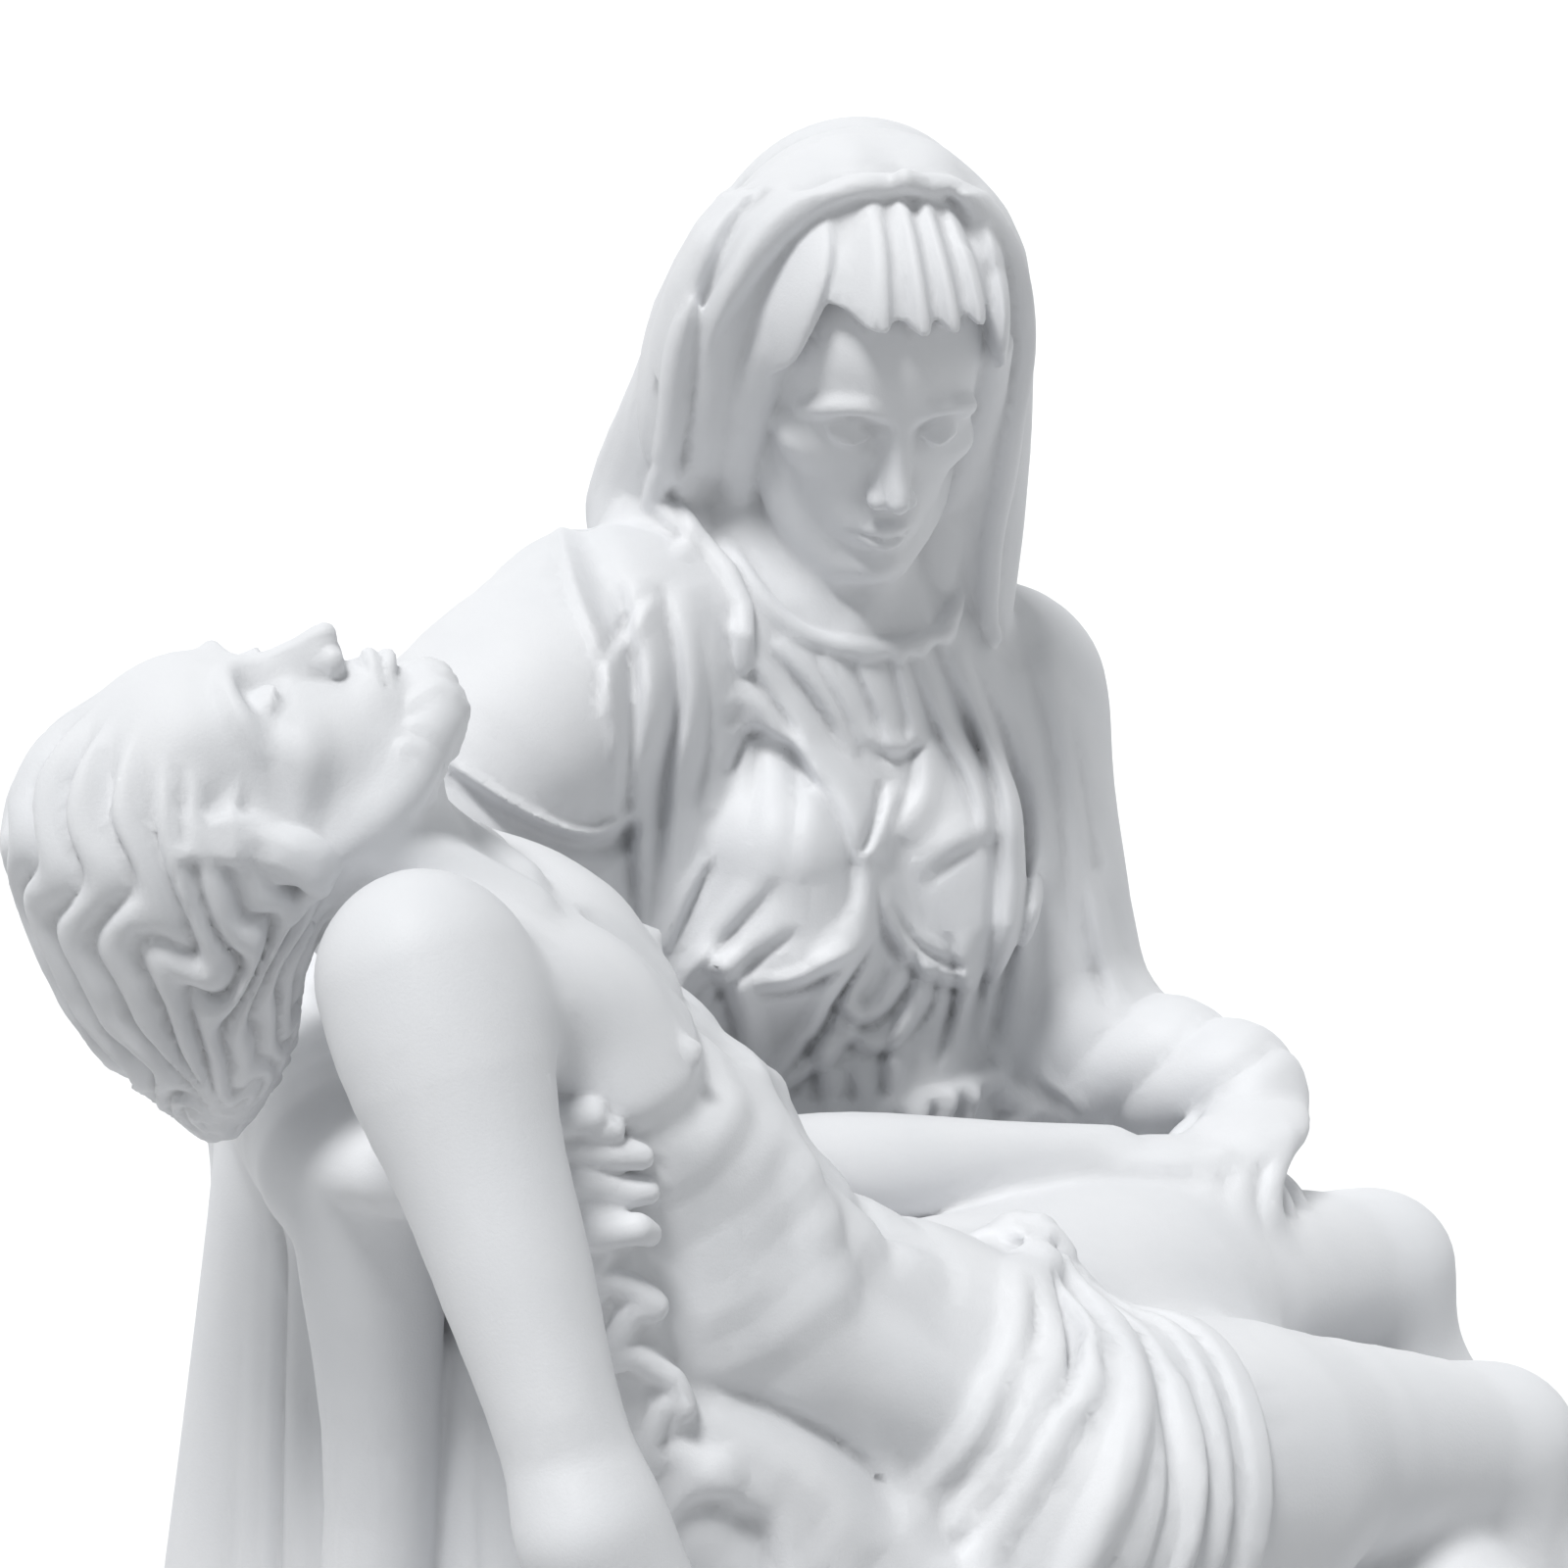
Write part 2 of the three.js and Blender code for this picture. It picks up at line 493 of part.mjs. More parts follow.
// The veil over her head, open round the face, falling on both shoulders, with a band inside it
function veil(clay) {
  const { head: skull, headHeight: h } = WOMAN;
  const spot = (x, y, z) => place(skull, x * h, y * h, z * h);
  clay.add(egg(skull, 0, -0.1 * h, 0.13 * h, 0.36 * h, 0.4 * h, 0.4 * h), 1);
  const arcs = (u, v, w) => {
    const angle = Math.atan2(u, w);
    const line = v + 0.1 * Math.abs(u) + 2.2 * Math.sin(2.1 * angle + 0.5) + 0.8 * Math.sin(0.2 * w);
    return rolls(0.5 * line + 0.6) * (0.95 + 0.35 * Math.sin(1.4 * angle + 0.11 * v));
  };
  const hood = [
    egg(skull, 0, -0.17 * h, 0.16 * h, 0.4 * h, 0.42 * h, 0.45 * h),
    tube([spot(0, -0.2, 0.22), spot(0.02, -0.46, -0.1), at(-9, 34, 208)], [18.5, 19.5, 22]),
  ];
  for (const [s, out] of [[1, 1.1], [-1, 0.9]]) {
    const face = [spot(0, 0.2, 0.42), spot(0.2 * s, 0.15, 0.36), spot(0.33 * s, 0.02, 0.14), spot(0.35 * s, -0.06, -0.12)];
    const lining = [...face, spot(0.32 * s, -0.1, -0.4), at(-10 - s * 12, 16, 208)];
    clay.add(tube(lining, [5, 5, 4.8, 5.4, 6, 8]), 1);
    const band = [spot(0, 0.29, 0.4), spot(0.19 * s, 0.23, 0.345), spot(0.3 * s, 0.1, 0.14), spot(0.32 * s, 0.03, -0.12)];
    clay.add(tube([...band, spot(0.28 * s, 0, -0.36)], [3, 3, 2.8, 2.8, 2.6]), 1);
    const side = [spot(0.1 * s, 0.08, 0.46), spot(0.33 * s * out, 0, 0.28), spot(0.41 * s * out, -0.1, -0.12)];
    hood.push(tube([...side, spot(0.45 * s * out, -0.16, -0.5), at(-11 - s * 24, 18, 205)], [6, 7, 8.2, 9.4, 9]));
  }
  clay.add(relief(hood, skull, arcs), 1.2);
  for (const [s, out] of [[1, 1.1], [-1, 0.9]]) {
    const edge = [spot(0, 0.21, 0.53), spot(0.22 * s, 0.16, 0.46), spot(0.41 * s * out, 0.05, 0.18)];
    clay.lay([...edge, spot(0.46 * s * out, 0, -0.14), spot(0.48 * s * out, -0.04, -0.46), at(-11 - s * 23, 10, 203)], 1.8, 1, 0.9);
  }
}

// A head in its own frame: skull, jaw, nose, brow, cheeks, lips and eyes, in shares of its height
function head(clay, frame, height) {
  const h = height;
  const spot = ([x, y, z]) => place(frame, x * h, y * h, z * h);
  const lump = (x, y, z, rx, ry, rz, fillet) =>
    clay.add(egg(frame, x * h, y * h, z * h, rx * h, ry * h, rz * h), fillet * h);
  const ridge = (points, radii, fillet) =>
    clay.add(tube(points.map(spot), radii.map((r) => r * h)), fillet * h);
  lump(0, -0.07, 0.12, 0.325, 0.41, 0.37, 0.1);
  lump(0, 0.1, -0.1, 0.26, 0.26, 0.33, 0.12);
  for (const side of [1, -1]) {
    ridge([[side * 0.235, -0.04, -0.2], [side * 0.185, 0.1, -0.35], [side * 0.05, 0.26, -0.42]], [0.065, 0.07, 0.07], 0.1);
    lump(side * 0.185, 0.2, -0.1, 0.085, 0.085, 0.07, 0.1);
    ridge([[side * 0.04, 0.345, 0.065], [side * 0.14, 0.335, 0.085], [side * 0.235, 0.25, 0.05]], [0.03, 0.032, 0.028], 0.05);
    const socket = spot([side * 0.135, 0.385, -0.005]);
    clay.carve(limb(socket, socket, 0.075 * h), 0.06 * h);
    lump(side * 0.135, 0.288, -0.01, 0.07, 0.06, 0.055, 0.02);
    lump(side * 0.045, 0.385, -0.18, 0.032, 0.042, 0.03, 0.03);
  }
  ridge([[0, 0.345, 0.04], [0, 0.395, -0.08], [0, 0.45, -0.165]], [0.028, 0.03, 0.038], 0.03);
  lump(0, 0.285, -0.41, 0.08, 0.065, 0.065, 0.08);
  lump(0, 0.285, -0.28, 0.11, 0.08, 0.08, 0.06);
  ridge([[-0.085, 0.325, -0.288], [0, 0.368, -0.272], [0.085, 0.325, -0.288]], [0.014, 0.024, 0.014], 0.02);
  ridge([[-0.07, 0.325, -0.302], [0, 0.36, -0.318], [0.07, 0.325, -0.302]], [0.014, 0.026, 0.014], 0.02);
}

// A hand from the wrist: the frame's z runs to the fingers, its y out of the palm
function hand(clay, frame, length, curl, thumb) {
  const s = length / 38;
  clay.add(tube([place(frame, 0, 0, 0), place(frame, 0, 0, 9 * s), place(frame, 0, 0, 16 * s)], [5.5 * s, 8.6 * s, 8 * s], 0.5, frame.y), 2);
  for (let i = 0; i < 4; i++) {
    const x = (i - 1.5) * 4.2 * s;
    const reach = [15, 17.5, 16.5, 12.5][thumb > 0 ? 3 - i : i] * s;
    const line = [place(frame, x * 0.8, 0, 12 * s), place(frame, x, 0, 17 * s)];
    let bend = curl * 0.5;
    for (const share of [0.42, 0.32, 0.26]) {
      const step = frame.z.clone().multiplyScalar(Math.cos(bend)).addScaledVector(frame.y, Math.sin(bend));
      line.push(line.at(-1).clone().addScaledVector(step, reach * share));
      bend += curl;
    }
    clay.add(tube(line, [2.6 * s, 2.7 * s, 2.4 * s, 2.3 * s, 1.9 * s]), 0.8);
  }
  const line = [
    place(frame, thumb * 4 * s, 1 * s, 3 * s),
    place(frame, thumb * 9.5 * s, 3 * s, 10 * s),
    place(frame, thumb * 11 * s, 5 * s, 17 * s),
    place(frame, thumb * 10.5 * s, 6 * s, 22 * s),
  ];
  clay.add(tube(line, [3.6 * s, 3.2 * s, 2.6 * s, 2.1 * s]), 1.5);
}

// The man's trunk: rib cage, breast, belly and hips
function trunk(clay) {
  const { chest, pelvis, shoulders, hips } = MAN;
  clay.add(egg(chest, 0, 0, 1, 23.5, 15.5, 29), 8);
  clay.add(tube([moved(shoulders.right, 5, 5, -1), place(chest, 0, -2, 24), shoulders.left], [8.5, 11.5, 9.5]), 12);
  const waist = [place(chest, 0, -2, -14), place(pelvis, 0, -2, 32), place(pelvis, 0, -2, 18), place(pelvis, 0, -2, 2)];
  clay.add(tube(waist, [20.5, 17.5, 18, 20], 0.72, pelvis.y), 8);
  clay.add(limb(hips.right, hips.left, 15.5, 15.5), 9);
  for (const [s, shoulder] of [[1, shoulders.right], [-1, shoulders.left]]) {
    // Breast, the muscle from it to the shoulder, collar bone, the edge of the rib cage and the flank
    clay.add(egg(chest, 11.5 * s, 9.5, 12, 12.5, 6.6, 9.5), 5);
    clay.add(tube([place(chest, 9 * s, 10, 17), between(place(chest, 16 * s, 8, 20), shoulder, 0.4), shoulder], [6.5, 7, 6]), 5);
    clay.add(tube([place(chest, 4 * s, 8, 29), place(chest, 15 * s, 7.5, 31), moved(shoulder, 0, 0, 6)], [2.6, 2.2, 2.6]), 3.5);
    const rim = [place(chest, 2.5 * s, 13, -7), place(chest, 9 * s, 12, -15), place(chest, 16 * s, 7.5, -22), place(chest, 21 * s, 0, -27)];
    clay.add(tube(rim, [2.6, 3, 3.2, 3]), 5);
    clay.add(tube([place(chest, 20 * s, -2, -14), place(pelvis, 16.5 * s, -1, 26), place(pelvis, 17.5 * s, 1, 12)], [6, 6.5, 5.5]), 6);
  }
}

// His legs, over her lap and down beside her knee
function legs(clay) {
  const { hips, knees, ankles } = MAN;
  for (const side of ["right", "left"]) {
    const [hip, knee, ankle] = [hips[side], knees[side], ankles[side]];
    const thigh = [hip, moved(between(hip, knee, 0.3), 0, 0, 2), moved(between(hip, knee, 0.7), 0, 0, 2), knee];
    clay.add(tube(thigh, [17, 17.5, 13.5, 11]), 6);
    const shin = [knee, moved(between(knee, ankle, 0.3), -4, 3, 0), moved(between(knee, ankle, 0.65), -2, 1, 0), ankle];
    clay.add(tube(shin, [10.8, 11, 8.2, 6.2]), 5);
    clay.add(limb(moved(knee, 3, -3, 2), moved(knee, 4, -3, -5), 8, 7), 5);
    const heel = moved(ankle, -5, 6, -8);
    const ball = moved(ankle, 6, -16, -24);
    clay.add(tube([ankle, heel], [6.4, 6]), 5);
    clay.add(tube([moved(ankle, 0, 0, -5), between(ankle, ball, 0.6), ball], [7, 6.6, 5.2], 1.3, at(0.9, 0.3, 0)), 5);
    for (let i = 0; i < 5; i++) {
      const root = moved(ball, 2.6 * (i - 2), 1 * (i - 2), 0);
      clay.add(tube([root, moved(root, 1, -6, -4), moved(root, 1, -9, -8)], [2.8, 2.5, 2]), 1.5);
    }
  }
}

// The right arm hangs; the left lies along his belly
function arms(clay) {
  const { shoulders, elbows, wrists } = MAN;
  const arm = (shoulder, elbow, wrist, size) => {
    const upper = [shoulder, between(shoulder, elbow, 0.35), between(shoulder, elbow, 0.75), elbow];
    clay.add(tube(upper, [9.6 * size, 9.6 * size, 8.2 * size, 7.2 * size]), 7);
    const cap = [shoulder, between(shoulder, elbow, 0.16), between(shoulder, elbow, 0.4)];
    clay.add(tube(cap, [9.8, 10.4, 6]), 5);
    const lower = [elbow, between(elbow, wrist, 0.3), between(elbow, wrist, 0.7), wrist];
    clay.add(tube(lower, [7 * size, 7.8 * size, 5.8 * size, 4.8 * size]), 4);
  };
  arm(shoulders.right, elbows.right, wrists.right, 1);
  arm(shoulders.left, elbows.left, wrists.left, 0.95);
  const down = bodyFrame(wrists.right, at(0.2, -0.05, -1), at(0.5, 0.85, 0));
  hand(clay, down, 37, 0.3, -1);
  const across = bodyFrame(wrists.left, at(0.93, -0.3, -0.16), at(0, -0.1, -1));
  hand(clay, across, 36, 0.24, -1);
}

// The cloth round his hips, drawn up to a knot at the far side, with one end over her lap
function loincloth(clay) {
  const { pelvis, hips, knees } = MAN;
  clay.add(limb(place(pelvis, 0, -1, -3), place(pelvis, 0, -1, 8), 21.5, 20.5, 0.84, pelvis.y), 4);
  for (const side of ["right", "left"])
    clay.add(tube([hips[side], between(hips[side], knees[side], 0.38)], [19, 18.5]), 5);
  const knot = place(pelvis, -10, 17, 2);
  clay.add(egg(pelvis, -10, 17, 2, 6, 4.5, 5), 3);
  const fold = (up, out) => [
    knot,
    place(pelvis, 4, 20, 4 + up - out),
    place(pelvis, 17, 12, 6 + 1.2 * up - 1.6 * out),
    place(pelvis, 22, -4, 6 + 1.3 * up - 2.2 * out),
    place(pelvis, 17, -19, 4 + 1.2 * up - 2.4 * out),
  ];
  clay.folds(fold(7, 0), fold(-8, 9), 6, 2.7, 0.5, 2.6);
  const end = (x) => [place(pelvis, x, -10, -4), at(-30 + x, -78, 96), at(-36 + 1.3 * x, -90, 74), at(-38 + 1.4 * x, -94, 52)];
  clay.folds(end(-2), end(22), 5, 4.2, 0.8, 5);
}

// His hair: long wavy locks, combed back from the brow and hanging to a point, and a short beard
function hair(clay) {
  const { head: skull, headHeight: h, chest } = MAN;
  const spot = (x, y, z) => place(skull, x * h, y * h, z * h);
  clay.add(tube([place(chest, 2, -1, 26), spot(0.02, -0.14, -0.32), spot(0, -0.05, -0.14)], [9.5, 9.5, 10.5]), 5);
  const locks = (u, v, w) => {
    const aside = w - 0.06 * h - 0.05 * v;
    const angle = Math.atan2(u, aside);
    const away = Math.max(Math.hypot(u, aside), 6);
    const back = 0.3 * h - v;
    const wave = (2.6 * Math.sin(0.29 * back + 0.9 * Math.sin(3 * angle)) * Math.min(1, back / 14)) / away;
    return 2 * rolls(12 * (angle + wave)) * Math.min(Math.max(away / 14, 0.45), 1);
  };
  const skin = egg(skull, 0, -0.12 * h, 0.14 * h, 0.335 * h, 0.38 * h, 0.365 * h);
  const fall = tube([spot(0, -0.1, 0.24), spot(0, -0.38, 0.16), spot(0, -0.62, 0.07), spot(0, -0.86, 0.03)], [14, 13.4, 9.5, 3.5]);
  clay.add(relief([skin, fall], skull, locks), 0.8);
  clay.add(egg(skull, 0, 0.235 * h, -0.43 * h, 0.16 * h, 0.1 * h, 0.085 * h), 2);
}

// The gathered edge of the cloth under his side, from the armpit to the hip
function ruffle(clay) {
  const edge = new THREE.CatmullRomCurve3([
    at(-112, -47, 176),
    at(-107, -52, 162),
    at(-98, -58, 147),
    at(-86, -64, 133),
    at(-73, -68, 121),
  ]);
  clay.add(tube([at(-108, -38, 160), at(-100, -44, 142), at(-86, -50, 124), at(-70, -54, 108)], [8, 11, 14, 16]), 6);
  const rim = edge.getPoints(24).map((p, i) => moved(p, 1.2 * Math.cos(1.9 * i), 0, 2 * Math.sin(1.9 * i) - 1.5));
  clay.add(strand(rim, 2.6, 0.8), 1.5);
}

// Marching tetrahedra: the surface where the samples change sign, as closed triangles
function surface(clay) {
  const [nx, ny, nz] = clay.size;
  const { values, low } = clay;
  const corner = [0, 1, nx, nx + 1, nx * ny, nx * ny + 1, nx * ny + nx, nx * ny + nx + 1];
  const tetrahedra = [
    [0, 1, 3, 7],
    [0, 3, 2, 7],
    [0, 2, 6, 7],
    [0, 6, 4, 7],
    [0, 4, 5, 7],
    [0, 5, 1, 7],
  ];
  const one = { 1: [0, 1, 2, 3], 2: [1, 0, 3, 2], 4: [2, 0, 1, 3], 8: [3, 0, 2, 1] };
  const two = { 3: [0, 1, 2, 3], 5: [0, 2, 3, 1], 9: [0, 3, 1, 2], 6: [1, 2, 0, 3], 10: [1, 3, 2, 0], 12: [2, 3, 0, 1] };
  const slots = new Map();
  const points = [];
  const triangles = [];
  const total = values.length;
  const crossing = (a, b) => {
    const [p, q] = a < b ? [a, b] : [b, a];
    const key = p * 8 + corner.indexOf(q - p);
    let slot = slots.get(key);
    if (slot === undefined) {
      const t = Math.min(Math.max(values[p] / (values[p] - values[q]), 0.06), 0.94);
      const x = mix(p % nx, q % nx, t);
      const y = mix(Math.floor(p / nx) % ny, Math.floor(q / nx) % ny, t);
      const z = mix(Math.floor(p / nx / ny), Math.floor(q / nx / ny), t);
      slot = points.length / 3;
      points.push(low.x + x * STEP, low.y + y * STEP, low.z + z * STEP);
      slots.set(key, slot);
    }
    return slot;
  };
  for (let n = 0; n < total - nx * ny - nx - 1; n++) {
    if (n % nx === nx - 1 || Math.floor(n / nx) % ny === ny - 1) continue;
    let inside = 0;
    for (const c of corner) if (values[n + c] < 0) inside++;
    if (inside === 0 || inside === 8) continue;
    for (const tetrahedron of tetrahedra) {
      const v = tetrahedron.map((c) => n + corner[c]);
      let mask = 0;
      for (let i = 0; i < 4; i++) if (values[v[i]] < 0) mask |= 1 << i;
      if (mask === 0 || mask === 15) continue;
      const flipped = 15 - mask;
      if (one[mask] || one[flipped]) {
        const [a, b, c, d] = (one[mask] ?? one[flipped]).map((i) => v[i]);
        const t = [crossing(a, b), crossing(a, c), crossing(a, d)];
        triangles.push(...(one[mask] ? t : t.reverse()));
      } else {
        const [a, b, c, d] = two[mask].map((i) => v[i]);
        const [p, q, r, s] = [crossing(a, c), crossing(a, d), crossing(b, d), crossing(b, c)];
        triangles.push(p, q, r, p, r, s);
      }
    }
  }
  return { points: Float64Array.from(points), triangles: Int32Array.from(triangles) };
}


// The normal of a triangle, as long as twice its area
function normalOf(a, b, c) {
  const [ux, uy, uz] = [b[0] - a[0], b[1] - a[1], b[2] - a[2]];
  const [vx, vy, vz] = [c[0] - a[0], c[1] - a[1], c[2] - a[2]];
  return [uy * vz - uz * vy, uz * vx - ux * vz, ux * vy - uy * vx];
}

// How much finer than the rest the surface is kept at a point: the heads and hands
function care(point) {
  const { wrists } = MAN;
  const fine = [WOMAN.head.origin, MAN.head.origin, wrists.right, wrists.left, place(MAN.chest, 26, -6, 4)];
  const near = fine.map((p, i) => Math.exp(-((point.distanceTo(p) / (i < 2 ? 24 : 16)) ** 2)));
  return 1 + 8 * Math.max(near[0], near[1]) + 4 * Math.max(near[2], near[3], near[4]);
}

// The sum of squared distances to the planes round each vertex, as ten numbers a vertex
function vertexErrors(points, triangles) {
  const errors = new Float64Array((points.length / 3) * 10);
  for (let t = 0; t < triangles.length; t += 3) {
    const [a, b, c] = [0, 1, 2].map((i) => triangles[t + i] * 3).map((n) => points.slice(n, n + 3));
    const normal = normalOf(a, b, c);
    const area = Math.hypot(...normal) || 1e-12;
    const [x, y, z] = normal.map((n) => n / area);
    const w = -(x * a[0] + y * a[1] + z * a[2]);
    const weight = area * care(at(...a));
    const plane = [x * x, x * y, x * z, x * w, y * y, y * z, y * w, z * z, z * w, w * w];
    for (let i = 0; i < 3; i++)
      for (let n = 0; n < 10; n++) errors[triangles[t + i] * 10 + n] += plane[n] * weight;
  }
  return errors;
}

// The point with the least error for a pair of vertices, and that error
function bestPoint(errors, points, u, v) {
  const q = [];
  for (let n = 0; n < 10; n++) q.push(errors[u * 10 + n] + errors[v * 10 + n]);
  const [xx, xy, xz, xw, yy, yz, yw, zz, zw, ww] = q;
  const error = ([x, y, z]) =>
    x * (xx * x + 2 * (xy * y + xz * z + xw)) + y * (yy * y + 2 * (yz * z + yw)) + z * (zz * z + 2 * zw) + ww;
  const p = [points[u * 3], points[u * 3 + 1], points[u * 3 + 2]];
  const r = [points[v * 3], points[v * 3 + 1], points[v * 3 + 2]];
  const middle = [(p[0] + r[0]) / 2, (p[1] + r[1]) / 2, (p[2] + r[2]) / 2];
  const length = Math.hypot(p[0] - r[0], p[1] - r[1], p[2] - r[2]);
  const choices = [middle, p, r];
  const [a, b, c] = [yy * zz - yz * yz, xz * yz - xy * zz, xy * yz - xz * yy];
  const [d, e, f] = [xx * zz - xz * xz, xy * xz - xx * yz, xx * yy - xy * xy];
  const determinant = xx * a + xy * b + xz * c;
  if (Math.abs(determinant) > 1e-4 * (xx + yy + zz) ** 3) {
    const x = -(a * xw + b * yw + c * zw) / determinant;
    const y = -(b * xw + d * yw + e * zw) / determinant;
    const z = -(c * xw + e * yw + f * zw) / determinant;
    if (Math.hypot(x - middle[0], y - middle[1], z - middle[2]) < 1.5 * length) choices.push([x, y, z]);
  }
  let point = middle;
  let least = Infinity;
  for (const choice of choices) {
    const cost = error(choice);
    if (cost < least) [point, least] = [choice, cost];
  }
  return { point, cost: Math.max(least, 0) + 2e-4 * length * length };
}

// A queue that gives the pair with the least cost first
class Queue {
  constructor() {
    this.items = [];
  }

  push(item) {
    const { items } = this;
    let i = items.length;
    items.push(item);
    while (i > 0) {
      const parent = (i - 1) >> 1;
      if (items[parent].cost <= item.cost) break;
      items[i] = items[parent];
      i = parent;
    }
    items[i] = item;
  }

  pop() {
    const { items } = this;
    const first = items[0];
    const last = items.pop();
    if (!items.length) return first;
    let i = 0;
    for (;;) {
      let child = 2 * i + 1;
      if (child >= items.length) break;
      if (child + 1 < items.length && items[child + 1].cost < items[child].cost) child++;
      if (items[child].cost >= last.cost) break;
      items[i] = items[child];
      i = child;
    }
    items[i] = last;
    return first;
  }
}

// Joins neighbouring vertices, the least needed first, until few enough triangles are left.
// A pair is joined only where the surface stays one closed sheet and no triangle turns over.
function simplify({ points, triangles }, target) {
  const errors = vertexErrors(points, triangles);
  const count = points.length / 3;
  const around = Array.from({ length: count }, () => []);
  const version = new Int32Array(count);
  const queue = new Queue();
  for (let i = 0; i < triangles.length; i++) around[triangles[i]].push(Math.floor(i / 3));
  const corners = (t) => [triangles[t * 3], triangles[t * 3 + 1], triangles[t * 3 + 2]];
  const neighbours = (v) => new Set(around[v].flatMap(corners).filter((w) => w !== v));
  const offer = (u, v) => {
    const { point, cost } = bestPoint(errors, points, u, v);
    queue.push({ u, v, point, cost, stamp: version[u] + version[v] });
  };
  const spot = (w) => [points[w * 3], points[w * 3 + 1], points[w * 3 + 2]];
  const turnsOver = (v, other, point) =>
    around[v].some((t) => {
      const c = corners(t);
      if (c.includes(other)) return false;
      const now = c.map(spot);
      const before = normalOf(...now);
      const after = normalOf(...now.map((p, i) => (c[i] === v ? point : p)));
      const [long, short] = [Math.hypot(...before), Math.hypot(...after)];
      const turn = before[0] * after[0] + before[1] * after[1] + before[2] * after[2];
      return turn < 0.25 * long * short || short < 1e-3;
    });
  for (let v = 0; v < count; v++)
    for (const w of neighbours(v)) if (v < w) offer(v, w);
  let left = triangles.length / 3;
  while (left > target && queue.items.length) {
    const { u, v, point, stamp } = queue.pop();
    if (!around[u] || !around[v] || stamp !== version[u] + version[v]) continue;
    const [near, far] = [neighbours(u), neighbours(v)];
    if (!near.has(v)) continue;
    const shared = [...near].filter((w) => far.has(w)).length;
    if (shared !== 2 || turnsOver(u, v, point) || turnsOver(v, u, point)) continue;
    for (let n = 0; n < 10; n++) errors[u * 10 + n] += errors[v * 10 + n];
    for (let n = 0; n < 3; n++) points[u * 3 + n] = point[n];
    const gone = around[v].filter((t) => corners(t).includes(u));
    for (const t of gone)
      for (const w of corners(t)) around[w] = around[w].filter((s) => s !== t);
    for (const t of around[v])
      for (let i = 0; i < 3; i++) if (triangles[t * 3 + i] === v) triangles[t * 3 + i] = u;
    around[u] = around[u].concat(around[v]);
    around[v] = null;
    for (const t of gone) triangles[t * 3] = -1;
    left -= gone.length;
    version[u] += version[v] + 1;
    for (const w of neighbours(u)) offer(u, w);
  }
  return { points, triangles: triangles.filter((_, i) => triangles[i - (i % 3)] >= 0) };
}

// The shell that holds the lowest point, without islands or hollows
function outerShell({ points, triangles }) {
  const parent = Int32Array.from({ length: points.length / 3 }, (_, i) => i);
  const root = (i) => {
    while (parent[i] !== i) {
      parent[i] = parent[parent[i]];
      i = parent[i];
    }
    return i;
  };
  for (let t = 0; t < triangles.length; t += 3) {
    parent[root(triangles[t])] = root(triangles[t + 1]);
    parent[root(triangles[t + 1])] = root(triangles[t + 2]);
  }
  let lowest = 0;
  for (let i = 0; i < points.length; i += 3) if (points[i + 2] < points[lowest + 2]) lowest = i;
  const shell = root(lowest / 3);
  return { points, triangles: triangles.filter((_, i) => root(triangles[i]) === shell) };
}

// Modelling: everything goes on one block of clay, from the seat outwards
function modelGroup() {
  const low = at(-158, -116, FOOT - 2 * STEP);
  const high = moved(WOMAN.head.origin, 125, 82, 0.9 * WOMAN.headHeight);
  const clay = new Clay(low, high);
  const steps = [seat, mantle, skirt, skirtFolds, bodice, rightArm, mantleFront, leftArm, bodiceFolds];
  for (const step of steps) step(clay);
  head(clay, WOMAN.head, WOMAN.headHeight);
  for (const step of [veil, trunk, legs, loincloth, ruffle]) step(clay);
  head(clay, MAN.head, MAN.headHeight);
  for (const step of [hair, arms, rightHand]) step(clay);
  clay.work(low, high, (value, x, y, z) => Math.max(value, FOOT - z));
  return clay;
}

// The figures' geometry at full size, with their foot sunk into the plinth
function figures() {
  const { points, triangles } = simplify(outerShell(surface(modelGroup())), FACETS);
  const positions = new Float32Array(points.length);
  for (let i = 0; i < points.length; i += 3) {
    positions[i] = (points[i] + SETTING[0]) * PART;
    positions[i + 1] = (points[i + 1] + SETTING[1]) * PART;
    positions[i + 2] = points[i + 2] * PART + PLINTH_HEIGHT;
  }
  const geometry = new THREE.BufferGeometry();
  geometry.setAttribute("position", new THREE.BufferAttribute(positions, 3));
  geometry.setIndex([...triangles]);
  return geometry;
}

// The plinth: a rounded rectangle with a bevel round its top edge
function plinth() {
  const outline = (inset) => {
    const x = PLINTH_LENGTH / 2 - PLINTH_CORNER;
    const y = PLINTH_DEPTH / 2 - PLINTH_CORNER;
    const points = [];
    for (const [cx, cy, turn] of [[x, y, 0], [-x, y, 1], [-x, -y, 2], [x, -y, 3]])
      for (let i = 0; i <= CORNER_STEPS; i++) {
        const a = (turn + i / CORNER_STEPS) * (Math.PI / 2);
        const r = PLINTH_CORNER - inset;
        points.push([cx + r * Math.cos(a), cy + r * Math.sin(a)]);
      }
    return points;
  };
  const rings = [[0, 0], [0, PLINTH_HEIGHT - PLINTH_BEVEL], [PLINTH_BEVEL, PLINTH_HEIGHT]];
  const positions = rings.flatMap(([inset, z]) => outline(inset).flatMap(([x, y]) => [x, y, z]));
  const around = outline(0).length;
  const index = [];
  for (let i = 0; i < around; i++) {
    const j = (i + 1) % around;
    for (let ring = 0; ring < 2; ring++) {
      const [a, b] = [ring * around, (ring + 1) * around];
      index.push(a + i, a + j, b + j, a + i, b + j, b + i);
    }
    if (i > 0 && j > 0) index.push(0, j, i, 2 * around, 2 * around + i, 2 * around + j);
  }
  const geometry = new THREE.BufferGeometry();
  geometry.setAttribute("position", new THREE.Float32BufferAttribute(positions, 3));
  geometry.setIndex(index);
  return geometry;
}

const wasm = await Module();
wasm.setup();

